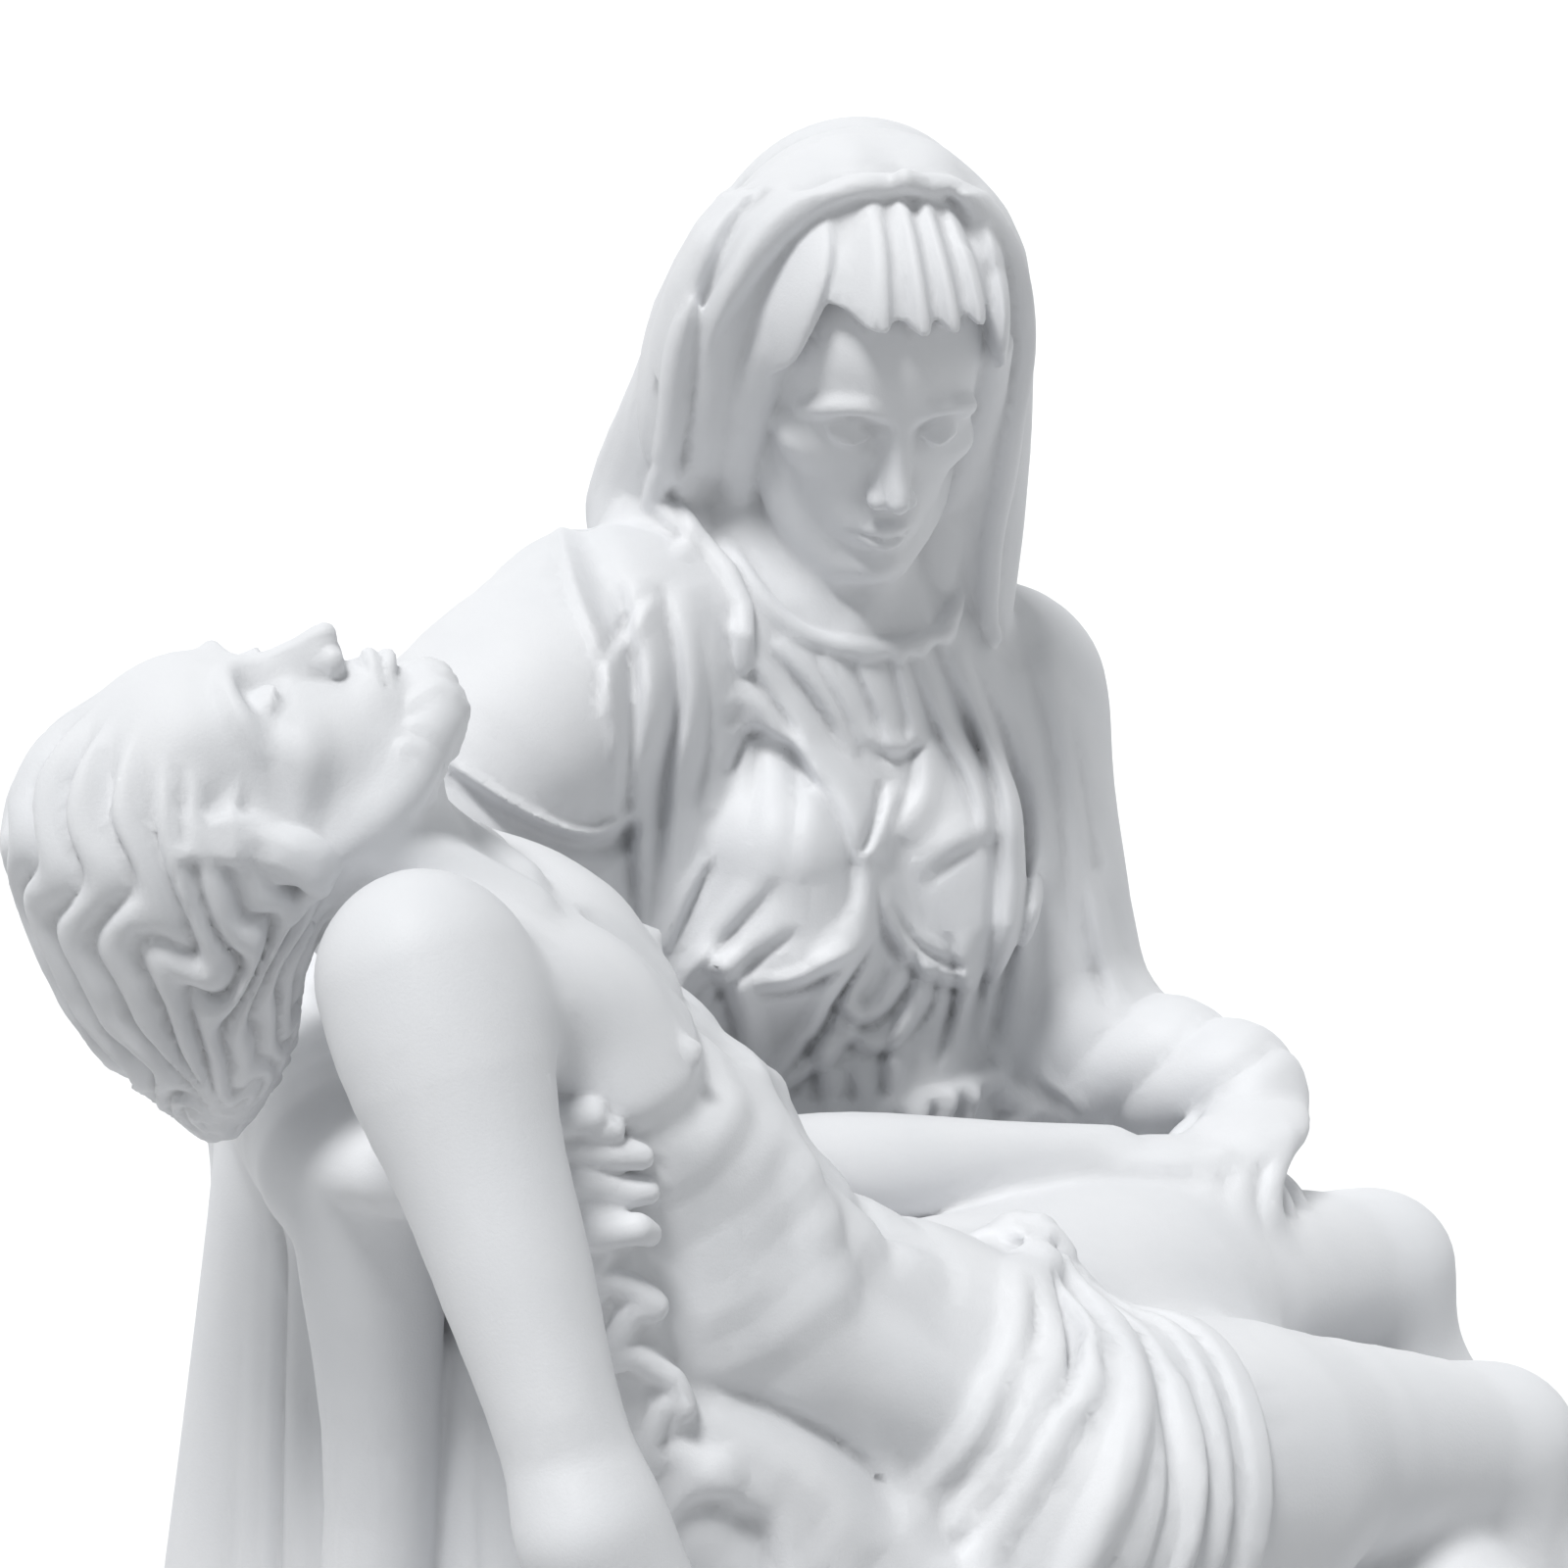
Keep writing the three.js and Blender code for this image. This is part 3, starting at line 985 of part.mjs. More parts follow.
// A closed geometry as a solid that can be joined and cut
function solid(geometry) {
  const bare = geometry.clone();
  bare.deleteAttribute("normal");
  bare.deleteAttribute("uv");
  const merged = mergeVertices(bare, 1e-4);
  return new wasm.Manifold(
    new wasm.Mesh({
      numProp: 3,
      vertProperties: merged.attributes.position.array,
      triVerts: new Uint32Array(merged.index.array),
    }),
  );
}

function geometryOf(made) {
  const mesh = made.getMesh();
  const geometry = new THREE.BufferGeometry();
  geometry.setAttribute("position", new THREE.BufferAttribute(mesh.vertProperties, 3));
  geometry.setIndex([...mesh.triVerts]);
  geometry.computeVertexNormals();
  return geometry;
}

const parian = new THREE.MeshStandardMaterial({ color: 0xe9eaec, roughness: 0.55, metalness: 0 });

const group = new THREE.Group();
const statue = new THREE.Mesh(geometryOf(solid(plinth()).add(solid(figures()))), parian);
statue.name = "pieta_statue";
group.add(statue);

export default group;
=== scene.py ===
# A white cast statuette: a seated, veiled woman with a dead man across her lap, on a low plinth.
# The two figures are modelled as clay on a grid of distances, as a sculptor builds up forms, and the
# clay's surface becomes one closed mesh. Everything is in the frame's metres, with +Z up.
import math

import bpy
import numpy as np
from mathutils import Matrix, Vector


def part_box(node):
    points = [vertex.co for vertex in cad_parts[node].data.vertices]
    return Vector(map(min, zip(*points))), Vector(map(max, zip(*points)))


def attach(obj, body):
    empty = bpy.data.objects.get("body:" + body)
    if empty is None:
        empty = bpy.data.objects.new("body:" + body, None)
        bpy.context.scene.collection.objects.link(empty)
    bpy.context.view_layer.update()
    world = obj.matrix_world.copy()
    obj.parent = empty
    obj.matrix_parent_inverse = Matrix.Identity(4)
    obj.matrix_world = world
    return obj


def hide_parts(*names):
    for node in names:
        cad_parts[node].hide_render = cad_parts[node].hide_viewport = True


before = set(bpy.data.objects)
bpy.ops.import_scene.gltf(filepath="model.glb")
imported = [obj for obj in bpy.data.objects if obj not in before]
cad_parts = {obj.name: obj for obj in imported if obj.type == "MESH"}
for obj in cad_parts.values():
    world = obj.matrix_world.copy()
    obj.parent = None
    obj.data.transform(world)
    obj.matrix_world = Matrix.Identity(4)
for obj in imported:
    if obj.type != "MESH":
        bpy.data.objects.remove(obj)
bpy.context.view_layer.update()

STATUE = "pieta_statue"
STATUE_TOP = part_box(STATUE)[1].z

# The plinth, in metres
PLINTH_HEIGHT = 0.020
PLINTH_BEVEL = 0.004
PLINTH_CORNER = 0.016
PLINTH_LENGTH = 0.242
PLINTH_DEPTH = 0.192
FOOT_EASE = 0.0004  # the small edge round the underside

# The figures are modelled in parts: 273 parts from the plinth's top to the top of the veil.
FIGURE_PARTS = 273
PART = (STATUE_TOP - PLINTH_HEIGHT) / FIGURE_PARTS  # in metres
SETTING = np.array([2.0, 13.0, 0.0])  # where the woman's seat stands, from the middle of the plinth
FOOT = -6.0  # the forms run down to here, inside the plinth
FAR = 30.0  # a sample that no form has reached
FACES = 197000  # triangles that the finished figures keep

# The photograph's viewing angle, from the front, in degrees, and the metres across the picture
AZIMUTH = 40
ELEVATION = 9
SPAN = 0.1976

# The corners of the grid, in parts: a little past the figures and down into the plinth
GRID_LOW = (-158, -116, -10)
GRID_HIGH = (112, 88, FIGURE_PARTS + 8)

# How far apart the samples are, in parts: close round the heads and hands, wider elsewhere
COARSE = 0.68
FINE = 0.42
FINE_RANGES = ([(-156, -92), (-46, 18)], [(-46, 36)], [(150, 264)])


# Points and frames

def at(x, y, z):
    return np.array([x, y, z], dtype=float)


def mix(a, b, t):
    return a + (b - a) * t


def moved(a, x, y, z):
    return a + at(x, y, z)


def unit(v):
    return v / max(np.linalg.norm(v), 1e-9)


def along_axis(axis, x, y, z):
    """How far places lie along an axis, in single precision."""
    f = np.float32
    return x * f(axis[0]) + y * f(axis[1]) + z * f(axis[2])


class Body:
    """The frame of a body: x to its right, y to its front, z up its length."""

    def __init__(self, origin, up, front):
        self.origin = origin
        self.z = unit(up)
        self.x = unit(np.cross(front, self.z))
        self.y = np.cross(self.z, self.x)

    def at(self, x, y, z):
        return self.origin + x * self.x + y * self.y + z * self.z


def curve(points, count):
    """Count + 1 places along a smooth line through points, at even steps from one to the next."""
    points = np.asarray(points, dtype=float)
    last = len(points) - 1
    before = np.vstack([2 * points[0] - points[1], points, 2 * points[-1] - points[-2]])
    t = np.linspace(0, last, count + 1)
    i = np.minimum(t.astype(int), last - 1)
    s = (t - i)[:, None]
    p0, p1, p2, p3 = (before[i + n] for n in range(4))
    cubic = 2 * p0 - 5 * p1 + 4 * p2 - p3
    return 0.5 * (2 * p1 + (p2 - p0) * s + cubic * s ** 2 + (3 * p1 - p0 - 3 * p2 + p3) * s ** 3)


# Forms: each has the box that it fills and a distance, negative inside

class Limb:
    """A limb from a to b, with its radius at each end. Flat presses it along the direction side."""

    def __init__(self, a, b, ra, rb=None, flat=1.0, side=(0, 0, 1)):
        self.a, self.ra, self.rb, self.flat = a, float(ra), float(ra if rb is None else rb), flat
        self.run = b - a
        self.square = max(float(self.run @ self.run), 1e-9)
        self.side = unit(np.asarray(side, dtype=float))
        r = max(self.ra, self.rb) * max(flat, 1)
        self.low = np.minimum(a, b) - r
        self.high = np.maximum(a, b) + r

    def distance(self, x, y, z):
        f = np.float32
        vx, vy, vz = x - f(self.a[0]), y - f(self.a[1]), z - f(self.a[2])
        dx, dy, dz = (f(n) for n in self.run)
        t = np.clip((vx * dx + vy * dy + vz * dz) / f(self.square), 0, 1)
        vx = vx - t * dx
        vy = vy - t * dy
        vz = vz - t * dz
        r = f(self.ra) + t * f(self.rb - self.ra)
        across = vx * vx + vy * vy + vz * vz
        if self.flat == 1:
            return np.sqrt(across) - r
        sx, sy, sz = (f(n) for n in self.side)
        along = (vx * sx + vy * sy + vz * sz) ** 2
        rest = np.maximum(across - along, 0) / (r * r)
        pressed = along / (r * r * f(self.flat ** 2))
        k0 = np.sqrt(rest + pressed)
        k1 = np.sqrt(rest + pressed / f(self.flat ** 2)) / r
        return k0 * (k0 - 1) / np.maximum(k1, f(1e-6))


class Egg:
    """An egg with a radius along each axis of a body's frame."""

    def __init__(self, body, x, y, z, rx, ry, rz):
        self.c = body.at(x, y, z)
        self.body, self.r = body, (rx, ry, rz)
        reach = max(rx, ry, rz)
        self.low, self.high = self.c - reach, self.c + reach

    def distance(self, x, y, z):
        f = np.float32
        qx, qy, qz = x - f(self.c[0]), y - f(self.c[1]), z - f(self.c[2])
        k0 = k1 = f(0)
        for axis, r in zip((self.body.x, self.body.y, self.body.z), self.r):
            e = along_axis(axis, qx, qy, qz) / f(r)
            k0 = k0 + e * e
            k1 = k1 + e * e / f(r * r)
        k0 = np.sqrt(k0)
        return k0 * (k0 - 1) / np.maximum(np.sqrt(k1), f(1e-6))


class Block:
    """A block with rounded edges, upright, from one corner to the other."""

    def __init__(self, low_corner, high_corner, rounding):
        self.low, self.high, self.round = low_corner, high_corner, rounding

    def distance(self, x, y, z):
        middle = (self.low + self.high) / 2
        half = (self.high - self.low) / 2 - self.round
        q = [np.abs(p - np.float32(c)) - np.float32(h) for p, c, h in zip((x, y, z), middle, half)]
        outside = np.sqrt(sum(np.maximum(p, 0) ** 2 for p in q))
        inside = np.minimum(np.maximum(np.maximum(q[0], q[1]), q[2]), 0)
        return outside + inside - np.float32(self.round)


class Hanging:
    """Cloth hanging round an upright axis. Spread(t) gives its reach to +x, -x, +y and -y, and
    folds(angle, t) how far it stands out there, with t from 0 at the foot to 1 at the top."""

    def __init__(self, centre, foot, top, spread, folds, square=2.6):
        self.centre, self.foot, self.top = centre, foot, top
        self.spread, self.folds, self.square = spread, folds, square
        r = max(max(spread(t)) for t in (0, 0.5, 1)) + 10
        middle = centre(0.5)
        self.low = at(middle[0] - r, middle[1] - r, foot)
        self.high = at(middle[0] + r, middle[1] + r, top)

    def distance(self, x, y, z):
        t = np.clip((z - self.foot) / np.float32(self.top - self.foot), 0, 1)
        cx, cy = self.centre(t)
        x, y = x - cx, y - cy
        right, left, back, front = self.spread(t)
        angle = np.arctan2(y, x).astype(np.float32)
        away = np.sqrt(x * x + y * y)
        c = np.abs(np.cos(angle)) / np.where(x > 0, right, left)
        s = np.abs(np.sin(angle)) / np.where(y > 0, back, front)
        edge = (c ** self.square + s ** self.square) ** (-1 / self.square)
        rounding = 10
        slack = 0.9  # the side of a fold is nearer than the way along the radius
        d = (away - edge - self.folds(angle, t)) * slack + rounding
        over = np.maximum(z - self.top, self.foot - z) + rounding
        out = np.sqrt(np.maximum(d, 0) ** 2 + np.maximum(over, 0) ** 2)
        return (out + np.minimum(np.maximum(d, over), 0) - rounding).astype(np.float32)


class Relief:
    """Masses run together, with a relief over them. Height(u, v, w) says how far it stands out, with
    u, v and w the place in a body's frame. Each mass is a list of forms."""

    def __init__(self, masses, body, height, merge=5.0):
        self.masses, self.body, self.height, self.merge = masses, body, height, merge
        every = [form for mass in masses for form in mass]
        self.low = np.min([form.low for form in every], axis=0) - 2
        self.high = np.max([form.high for form in every], axis=0) + 2

    def distance(self, x, y, z):
        f = np.float32
        total = None
        for mass in self.masses:
            own = mass[0].distance(x, y, z)
            for form in mass[1:]:
                own = np.minimum(own, form.distance(x, y, z))
            if total is None:
                total = own
            else:
                near = np.maximum(f(self.merge) - np.abs(total - own), 0) / f(self.merge)
                total = np.minimum(total, own) - near * near * f(self.merge / 4)
        place = [p - f(o) for p, o in zip((x, y, z), self.body.origin)]
        u, v, w = (along_axis(axis, *place) for axis in (self.body.x, self.body.y, self.body.z))
        return (total - self.height(u, v, w)).astype(np.float32)


def tube(points, radii, flat=1.0, side=(0, 0, 1)):
    """Limbs along a smooth line through points, four to a stretch, with a radius at each point."""
    steps = 4 * (len(points) - 1)
    line = curve(points, steps)
    width = curve(np.asarray(radii, dtype=float)[:, None], steps)[:, 0]
    return [Limb(line[i], line[i + 1], width[i], width[i + 1], flat, side) for i in range(steps)]


def strand(line, radius, thin=0.35):
    """Limbs along a line: a lock of hair or a roll of cloth, thin at both ends."""
    count = len(line) - 1
    width = radius * mix(thin, 1, np.sin(np.pi * np.linspace(0, 1, count + 1)) ** 0.6)
    return [Limb(line[i], line[i + 1], width[i], width[i + 1]) for i in range(count)]


def rolls(phase):
    """A run of folds: round rolls with a narrow valley between each two."""
    return np.abs(np.sin(phase / 2)) ** 0.7 - 0.6


def sketch(strokes, u, w):
    """The height of strokes drawn on a plane, at places across and up it. A stroke is its points, its
    height and its width, and the depth of a narrow valley along its right side."""
    total = np.zeros((len(u), len(w)), dtype=np.float32)
    for points, height, width, valley in strokes:
        line = curve(points, 6 * (len(points) - 1))
        reach = 3 * width
        part = tuple(slice(*np.searchsorted(axis, (line[:, n].min() - reach, line[:, n].max() + reach)))
                     for n, axis in enumerate((u, w)))
        x, y = u[part[0]][:, None], w[part[1]][None, :]
        best = np.full((x.size, y.size), 1e9)
        side, share = np.ones_like(best), np.zeros_like(best)
        for n in range(len(line) - 1):
            (ax, ay), (dx, dy) = line[n], line[n + 1] - line[n]
            t = np.clip(((x - ax) * dx + (y - ay) * dy) / max(dx * dx + dy * dy, 1e-9), 0, 1)
            across, up = x - ax - t * dx, y - ay - t * dy
            away = across * across + up * up
            closer = away < best
            best = np.where(closer, away, best)
            side = np.where(closer, np.sign(dx * up - dy * across), side)
            share = np.where(closer, (n + t) / (len(line) - 1), share)
        away = np.sqrt(best) * side
        strength = np.sqrt(np.sin(np.pi * np.clip(share, 0, 1)) + 1e-9)
        raised = height * np.exp(-(away / width) ** 2)
        sunk = valley * np.exp(-((away + 1.2 * width) / (0.4 * width)) ** 2)
        total[part] += (strength * (raised - sunk)).astype(np.float32)
    return total


def spaced(low_end, high_end, ranges):
    """Places from one end to the other, close together in the ranges and wider elsewhere."""
    places = [low_end]
    while places[-1] < high_end:
        p = places[-1]
        inside = any(a - 1 < p < b + 1 for a, b in ranges)
        places.append(p + (FINE if inside else COARSE))
    return np.array(places, dtype=np.float32)


class Clay:
    """Samples of the distance to the modelled form, on a grid."""

    def __init__(self, low_corner, high_corner):
        self.axes = [spaced(a, b, r) for a, b, r in zip(low_corner, high_corner, FINE_RANGES)]
        self.values = np.full([len(a) for a in self.axes], FAR, dtype=np.float32)

    def box(self, low_corner, high_corner):
        ends = zip(self.axes, low_corner, high_corner)
        return tuple(slice(*np.searchsorted(axis, (a, b))) for axis, a, b in ends)

    def coordinates(self, box):
        x, y, z = (axis[part] for axis, part in zip(self.axes, box))
        return x[:, None, None], y[None, :, None], z[None, None, :]

    def distances(self, form, reach):
        """The box round a form, and the distance to it at each sample there."""
        parts = form if isinstance(form, list) else [form]
        box = self.box(np.min([p.low for p in parts], axis=0) - reach,
                       np.max([p.high for p in parts], axis=0) + reach)
        result = np.full([s.stop - s.start for s in box], FAR, dtype=np.float32)
        for part in parts:
            own = self.box(part.low - reach, part.high + reach)
            view = result[tuple(slice(o.start - b.start, o.stop - b.start) for o, b in zip(own, box))]
            if view.size:
                np.minimum(view, part.distance(*self.coordinates(own)), out=view)
        return box, result

    def add(self, form, fillet=3.0, reach=8.0):
        """Adds a form, with a fillet of the given width where it meets the clay."""
        box, d = self.distances(form, max(fillet, reach))
        value = self.values[box]
        near = np.maximum(fillet - np.abs(value - d), 0) / fillet
        value[...] = np.minimum(value, d) - near * near * (fillet / 4)

    def carve(self, form, fillet=2.0, reach=4.0):
        """Cuts a form away, with a rounded edge."""
        box, d = self.distances(form, max(fillet, reach))
        value = self.values[box]
        near = np.maximum(fillet - np.abs(value + d), 0) / fillet
        value[...] = np.maximum(value, -d) + near * near * (fillet / 4)

    def read(self, points):
        """The distance at each of some points, between the samples."""
        place = []
        for axis, p in zip(self.axes, points.T):
            i = np.clip(np.searchsorted(axis, p) - 1, 0, len(axis) - 2)
            place.append((i, np.clip((p - axis[i]) / (axis[i + 1] - axis[i]), 0, 1)))
        (i, tx), (j, ty), (k, tz) = place
        total = 0
        for a in (0, 1):
            for b in (0, 1):
                for c in (0, 1):
                    share = (tx if a else 1 - tx) * (ty if b else 1 - ty) * (tz if c else 1 - tz)
                    total = total + share * self.values[i + a, j + b, k + c]
        return total

    def onto(self, points, height=0.0):
        """Moves points onto the surface, or to a height above it."""
        p = np.array(points, dtype=float)
        rounds, apart = 6, 0.8
        for _ in range(rounds):
            slope = np.stack([self.read(p + step) - self.read(p - step) for step in apart * np.eye(3)],
                             axis=1)
            length = np.linalg.norm(slope, axis=1, keepdims=True)
            slope = np.where(length > 1e-3, slope / np.maximum(length, 1e-3), 0)
            p += slope * (height - self.read(p))[:, None]
        return p

    def along(self, points, height, spacing=2.2):
        """A smooth line through points, on the surface."""
        rough = np.linalg.norm(np.diff(np.asarray(points, dtype=float), axis=0), axis=1).sum()
        return self.onto(curve(points, max(6, round(rough / spacing))), height)

    def lay(self, points, radius, fillet=None, thin=0.35, height=-0.15):
        """Lays a fold of cloth or a lock of hair along points, on the surface."""
        fillet = radius if fillet is None else fillet
        self.add(strand(self.along(points, height * radius), radius, thin), fillet, fillet + 2.5)

    def emboss(self, strokes, low_corner, high_corner):
        """Raises and sinks the clay in a box along strokes drawn on the picture's plane."""
        box = self.box(low_corner, high_corner)
        place = [c - np.float32(o) for c, o in zip(self.coordinates(box), PICTURE.origin)]
        u, w = along_axis(PICTURE.x, *place), along_axis(PICTURE.z, *place)
        step = 0.25
        across = np.arange(u.min() - 1, u.max() + 1, step)
        up = np.arange(w.min() - 1, w.max() + 1, step)
        sheet = sketch(strokes, across, up)
        i, j = (u - across[0]) / step, (w - up[0]) / step
        n, m = i.astype(np.int32), j.astype(np.int32)
        i, j = (i - n).astype(np.float32), (j - m).astype(np.float32)
        near = sheet[n, m] * (1 - i) + sheet[n + 1, m] * i
        far = sheet[n, m + 1] * (1 - i) + sheet[n + 1, m + 1] * i
        self.values[box] -= near * (1 - j) + far * j

    def groove(self, points, radius, fillet=None, depth=0.4):
        """Cuts a groove along points, on the surface."""
        fillet = radius if fillet is None else fillet
        line = self.along(points, (1 - 2 * depth) * radius, max(0.8, radius))
        self.carve(strand(line, radius), fillet, fillet + 2)

    def folds(self, first, last, count, radius, sway=0.0, fillet=None, thin=0.35, height=-0.15, valley=0.5):
        """Lays folds from a first one to a last one. Each sways a little by itself. Valley is the radius
        of the groove between each two, as a share of a fold's radius."""
        first, last = np.asarray(first, dtype=float), np.asarray(last, dtype=float)
        lines = []
        for i in range(count):
            points = mix(first, last, i / max(count - 1, 1))
            k = np.arange(len(points))
            points[:, 0] += sway * np.sin(2.3 * i + 1.7 * k)
            points[:, 2] += sway * np.sin(1.9 * i + 2.6 * k)
            self.lay(points, radius * (0.88 + 0.2 * math.sin(2.4 * i + 0.6)), fillet, thin, height)
            lines.append(points)
        for before, after in zip(lines, lines[1:]):
            if valley:
                self.groove(mix(before, after, 0.5), valley * radius, 0.5 * radius)


# The skeletons, in parts, with the woman's seat at x = 0, y = 0

WOMAN = {
    "pelvis": at(-2, 30, 96),
    "waist": at(-3, 29, 136),
    "chest": at(-5, 26, 172),
    "head": Body(at(-13, 6, 240), at(-0.17, -0.4, 0.9), at(-0.36, -0.82, -0.44)),
    "head_height": 47,
    "shoulders": {1: at(-42, 25, 203), -1: at(29, 25, 192)},
    "elbows": {1: at(-85, 26, 157), -1: at(30, 13, 143)},
    "wrists": {1: at(-108, -14, 154), -1: at(38, -22, 140)},
    "hips": {1: at(-20, 26, 92), -1: at(20, 26, 90)},
    "knees": {1: at(-58, -54, 96), -1: at(24, -62, 72)},
    "ankles": {1: at(-54, -76, 12), -1: at(20, -74, 12)},
}

MAN = {
    "pelvis": Body(at(-40, -46, 119), at(-0.78, 0.12, 0.6), at(0.3, -0.35, 0.88)),
    "chest": Body(at(-87, -35, 160), at(-0.66, 0.12, 0.74), at(0.53, -0.5, 0.66)),
    "head": Body(at(-125, -21, 199), at(-0.9, 0.38, 0.04), at(-0.06, -0.24, 0.97)),
    "head_height": 44,
    "shoulders": {1: at(-124, -52, 184), -1: at(-95, -2, 184)},
    "elbows": {1: at(-121, -76, 131), -1: at(-48, -10, 142)},
    "wrists": {1: at(-106, -85, 85), -1: at(6, -22, 137)},
    "knees": {1: at(43, -56, 97), -1: at(53, -26, 113)},
    "ankles": {1: at(62, -74, 36), -1: at(84, -48, 46)},
    "toes": {1: at(0.15, -0.8, -0.58), -1: at(0.2, -0.62, -0.75)},
}
MAN["hips"] = {side: MAN["pelvis"].at(14 * side, -1, -6) for side in (1, -1)}


# The picture's plane: x across it, z up it and y away from the camera, through the middle of the view
MIDDLE = at(-46, -17, 192)
PICTURE = Body(MIDDLE, at(0.1, 0.12, 0.988), at(0.635, 0.757, -0.156))


# The seat and the woman's dress

def seat(clay):
    """The stone block that the woman sits on, and the step under the man's feet."""
    clay.add(Block(at(-78, 2, FOOT), at(80, 66, 74), 2.5), 1)
    clay.add(Block(at(48, -96, FOOT), at(104, -20, 8), 3), 1)


def mantle(clay):
    """The mantle over her shoulders, down her back and over the seat."""

    def spread(t):
        side = mix(mix(74, 50, t), mix(50, 45, t), t)
        return side, side + 2, mix(38, 20, t), 12

    def folds(angle, t):
        sway = 0.2 * np.sin(2 * angle + 0.6) + 0.08 * np.sin(5 * angle + 2 * t)
        wide = rolls(15 * (angle + sway)) * mix(6, 2.4, t)
        narrow = rolls(37 * (angle + sway * 1.4) + 3 * t) * mix(1.3, 0.9, t)
        return wide + narrow * (0.5 + 0.5 * np.sin(4 * angle + 1 + 2 * t))

    clay.add(Hanging(lambda t: (mix(0, -4, t), mix(38, 30, t)), FOOT, 204, spread, folds, 2.3), 4)
    shoulders, elbows = WOMAN["shoulders"], WOMAN["elbows"]
    for side, radii in ((1, [16, 18, 17]), (-1, [13, 13, 13])):
        middle = mix(shoulders[side], elbows[side], 0.5)
        clay.add(tube([shoulders[side], middle, elbows[side]], radii), 8)
    clay.add(tube([at(-34, 26, 190), at(-44, 24, 150), at(-52, 16, 104)], [15, 16, 20]), 8)
    clay.add(tube([at(26, 28, 184), at(32, 27, 148), at(40, 24, 104)], [14, 15, 18]), 8)
    under = [at(-60, 22, 172), at(-66, 17, 146), at(-68, 14, 104), at(-70, 12, 58)]
    clay.add(tube(under, [9, 10, 11, 12]), 7)


def skirt(clay):
    """The gown from the lap to the ground."""
    hips, knees, ankles = WOMAN["hips"], WOMAN["knees"], WOMAN["ankles"]
    for side in (1, -1):
        clay.add(tube([hips[side], mix(hips[side], knees[side], 0.5), knees[side]], [27, 24, 18]), 12)
        clay.add(tube([knees[side], mix(knees[side], ankles[side], 0.4), ankles[side]], [18, 19, 21]), 10)
    clay.add(Limb(WOMAN["pelvis"], WOMAN["waist"], 33, 26), 10)
    clay.add(tube([at(-20, 8, 90), at(-20, -30, 88), at(-18, -56, 84)], [30, 26, 21]), 14)

    def spread(t):
        return mix(76, 52, t), mix(78, 66, t), mix(70, 52, t), mix(84, 54, t)

    def folds(angle, t):
        sway = 0.16 * np.sin(3 * angle + 1) + 0.07 * np.sin(7 * angle + 2.2 * t)
        large = rolls(13 * (angle + sway)) * mix(8, 3, t)
        small = rolls(29 * (angle + 1.3 * sway) + 2 * t) * mix(2.4, 0.8, t)
        front = angle + np.pi / 2
        hem = 3.5 * np.maximum(1 - 6 * t, 0) ** 2 * (1 + 0.4 * np.sin(11 * angle))
        return large + small + hem - 12 * np.exp(-((front / 0.3) ** 2)) * mix(0.4, 1, t)

    clay.add(Hanging(lambda t: (-14, -12), FOOT, 84, spread, folds), 8)

    def swags(u, v, w):
        """Rolls that hang from knee to knee, and short upright ones below them."""
        sag = w - 0.035 * u * u + 0.12 * u
        high = np.clip((w + 40) / 16, 0, 1)
        hanging = 2.3 * rolls(0.66 * sag + 1.2 * np.sin(0.09 * w + 0.1 * u))
        return hanging * high + 1.6 * rolls(0.62 * u + 0.05 * w) * (1 - high)

    between = tube([at(-20, -32, 84), at(-19, -52, 64), at(-17, -60, 30), at(-15, -64, 4)], [26, 27, 29, 29])
    clay.add(Relief([between], Body(at(-18, -60, 50), at(0, 0, 1), at(0, -1, 0)), swags), 8)
    toe = WOMAN["ankles"][1]
    clay.add(Limb(moved(toe, 0, -6, -6), moved(toe, -6, -24, -8), 8, 5, 1.2, (1, 0, 0)), 3)


def skirt_folds(clay):
    """Long rolls of cloth over the knees and down to the ground."""
    right, left = WOMAN["knees"][1], WOMAN["knees"][-1]

    def down(knee, start, end, foot, out):
        return [moved(knee, start, -12, 10), moved(knee, mix(start, end, 0.3) * 1.2, -22, -16),
                moved(knee, end, -24, -52), at(foot, -out, 6)]

    clay.folds(down(right, -14, -22, -84, 84), down(right, 10, 12, -44, 98), 5, 4.8, 1.2, 4, valley=0.3)
    clay.folds(down(right, -11, -18, -76, 88), down(right, 5, 6, -54, 96), 3, 2.0, 1.6, 2.5, valley=0)
    clay.folds(down(left, -10, -12, 8, 98), down(left, 13, 26, 56, 90), 5, 4.6, 1.4, 4, valley=0.4)
    clay.folds(down(left, -6, -8, 14, 98), down(left, 9, 20, 46, 92), 4, 2.0, 2.4, 2.5, valley=0)


def bodice(clay):
    """Her body above the lap, in the gown."""
    waist, shoulders = WOMAN["waist"], WOMAN["shoulders"]
    chest = moved(WOMAN["chest"], -5, 0, 0)
    deep = (0, 1, 0)
    clay.add(tube([waist, mix(waist, chest, 0.6), chest], [27, 28, 31], 0.76, deep), 8)
    clay.add(tube([shoulders[1], at(-8, 21, 203), shoulders[-1]], [14, 14.5, 14]), 10)
    clay.add(Limb(chest, at(-8, 22, 196), 30, 22, 0.72, deep), 10)
    clay.add(tube([at(-7, 20, 194), at(-9, 16, 214), at(-12, 12, 230)], [12, 10, 10.5]), 6)
    for x, y in ((-28, 5), (3, 6)):
        clay.add(Limb(at(x, y, 178), at(x + 1, y + 2, 169), 9, 11.5), 8)
    # The two cords of the neck, from behind the jaw to the collar bones
    for side, foot in ((1, -15), (-1, -4)):
        top = WOMAN["head"].at(-side * 10, -3, -16)
        clay.add(tube([top, mix(top, at(foot, 7, 205), 0.5), at(foot, 7, 206)], [2.6, 2.4, 2.0]), 3)


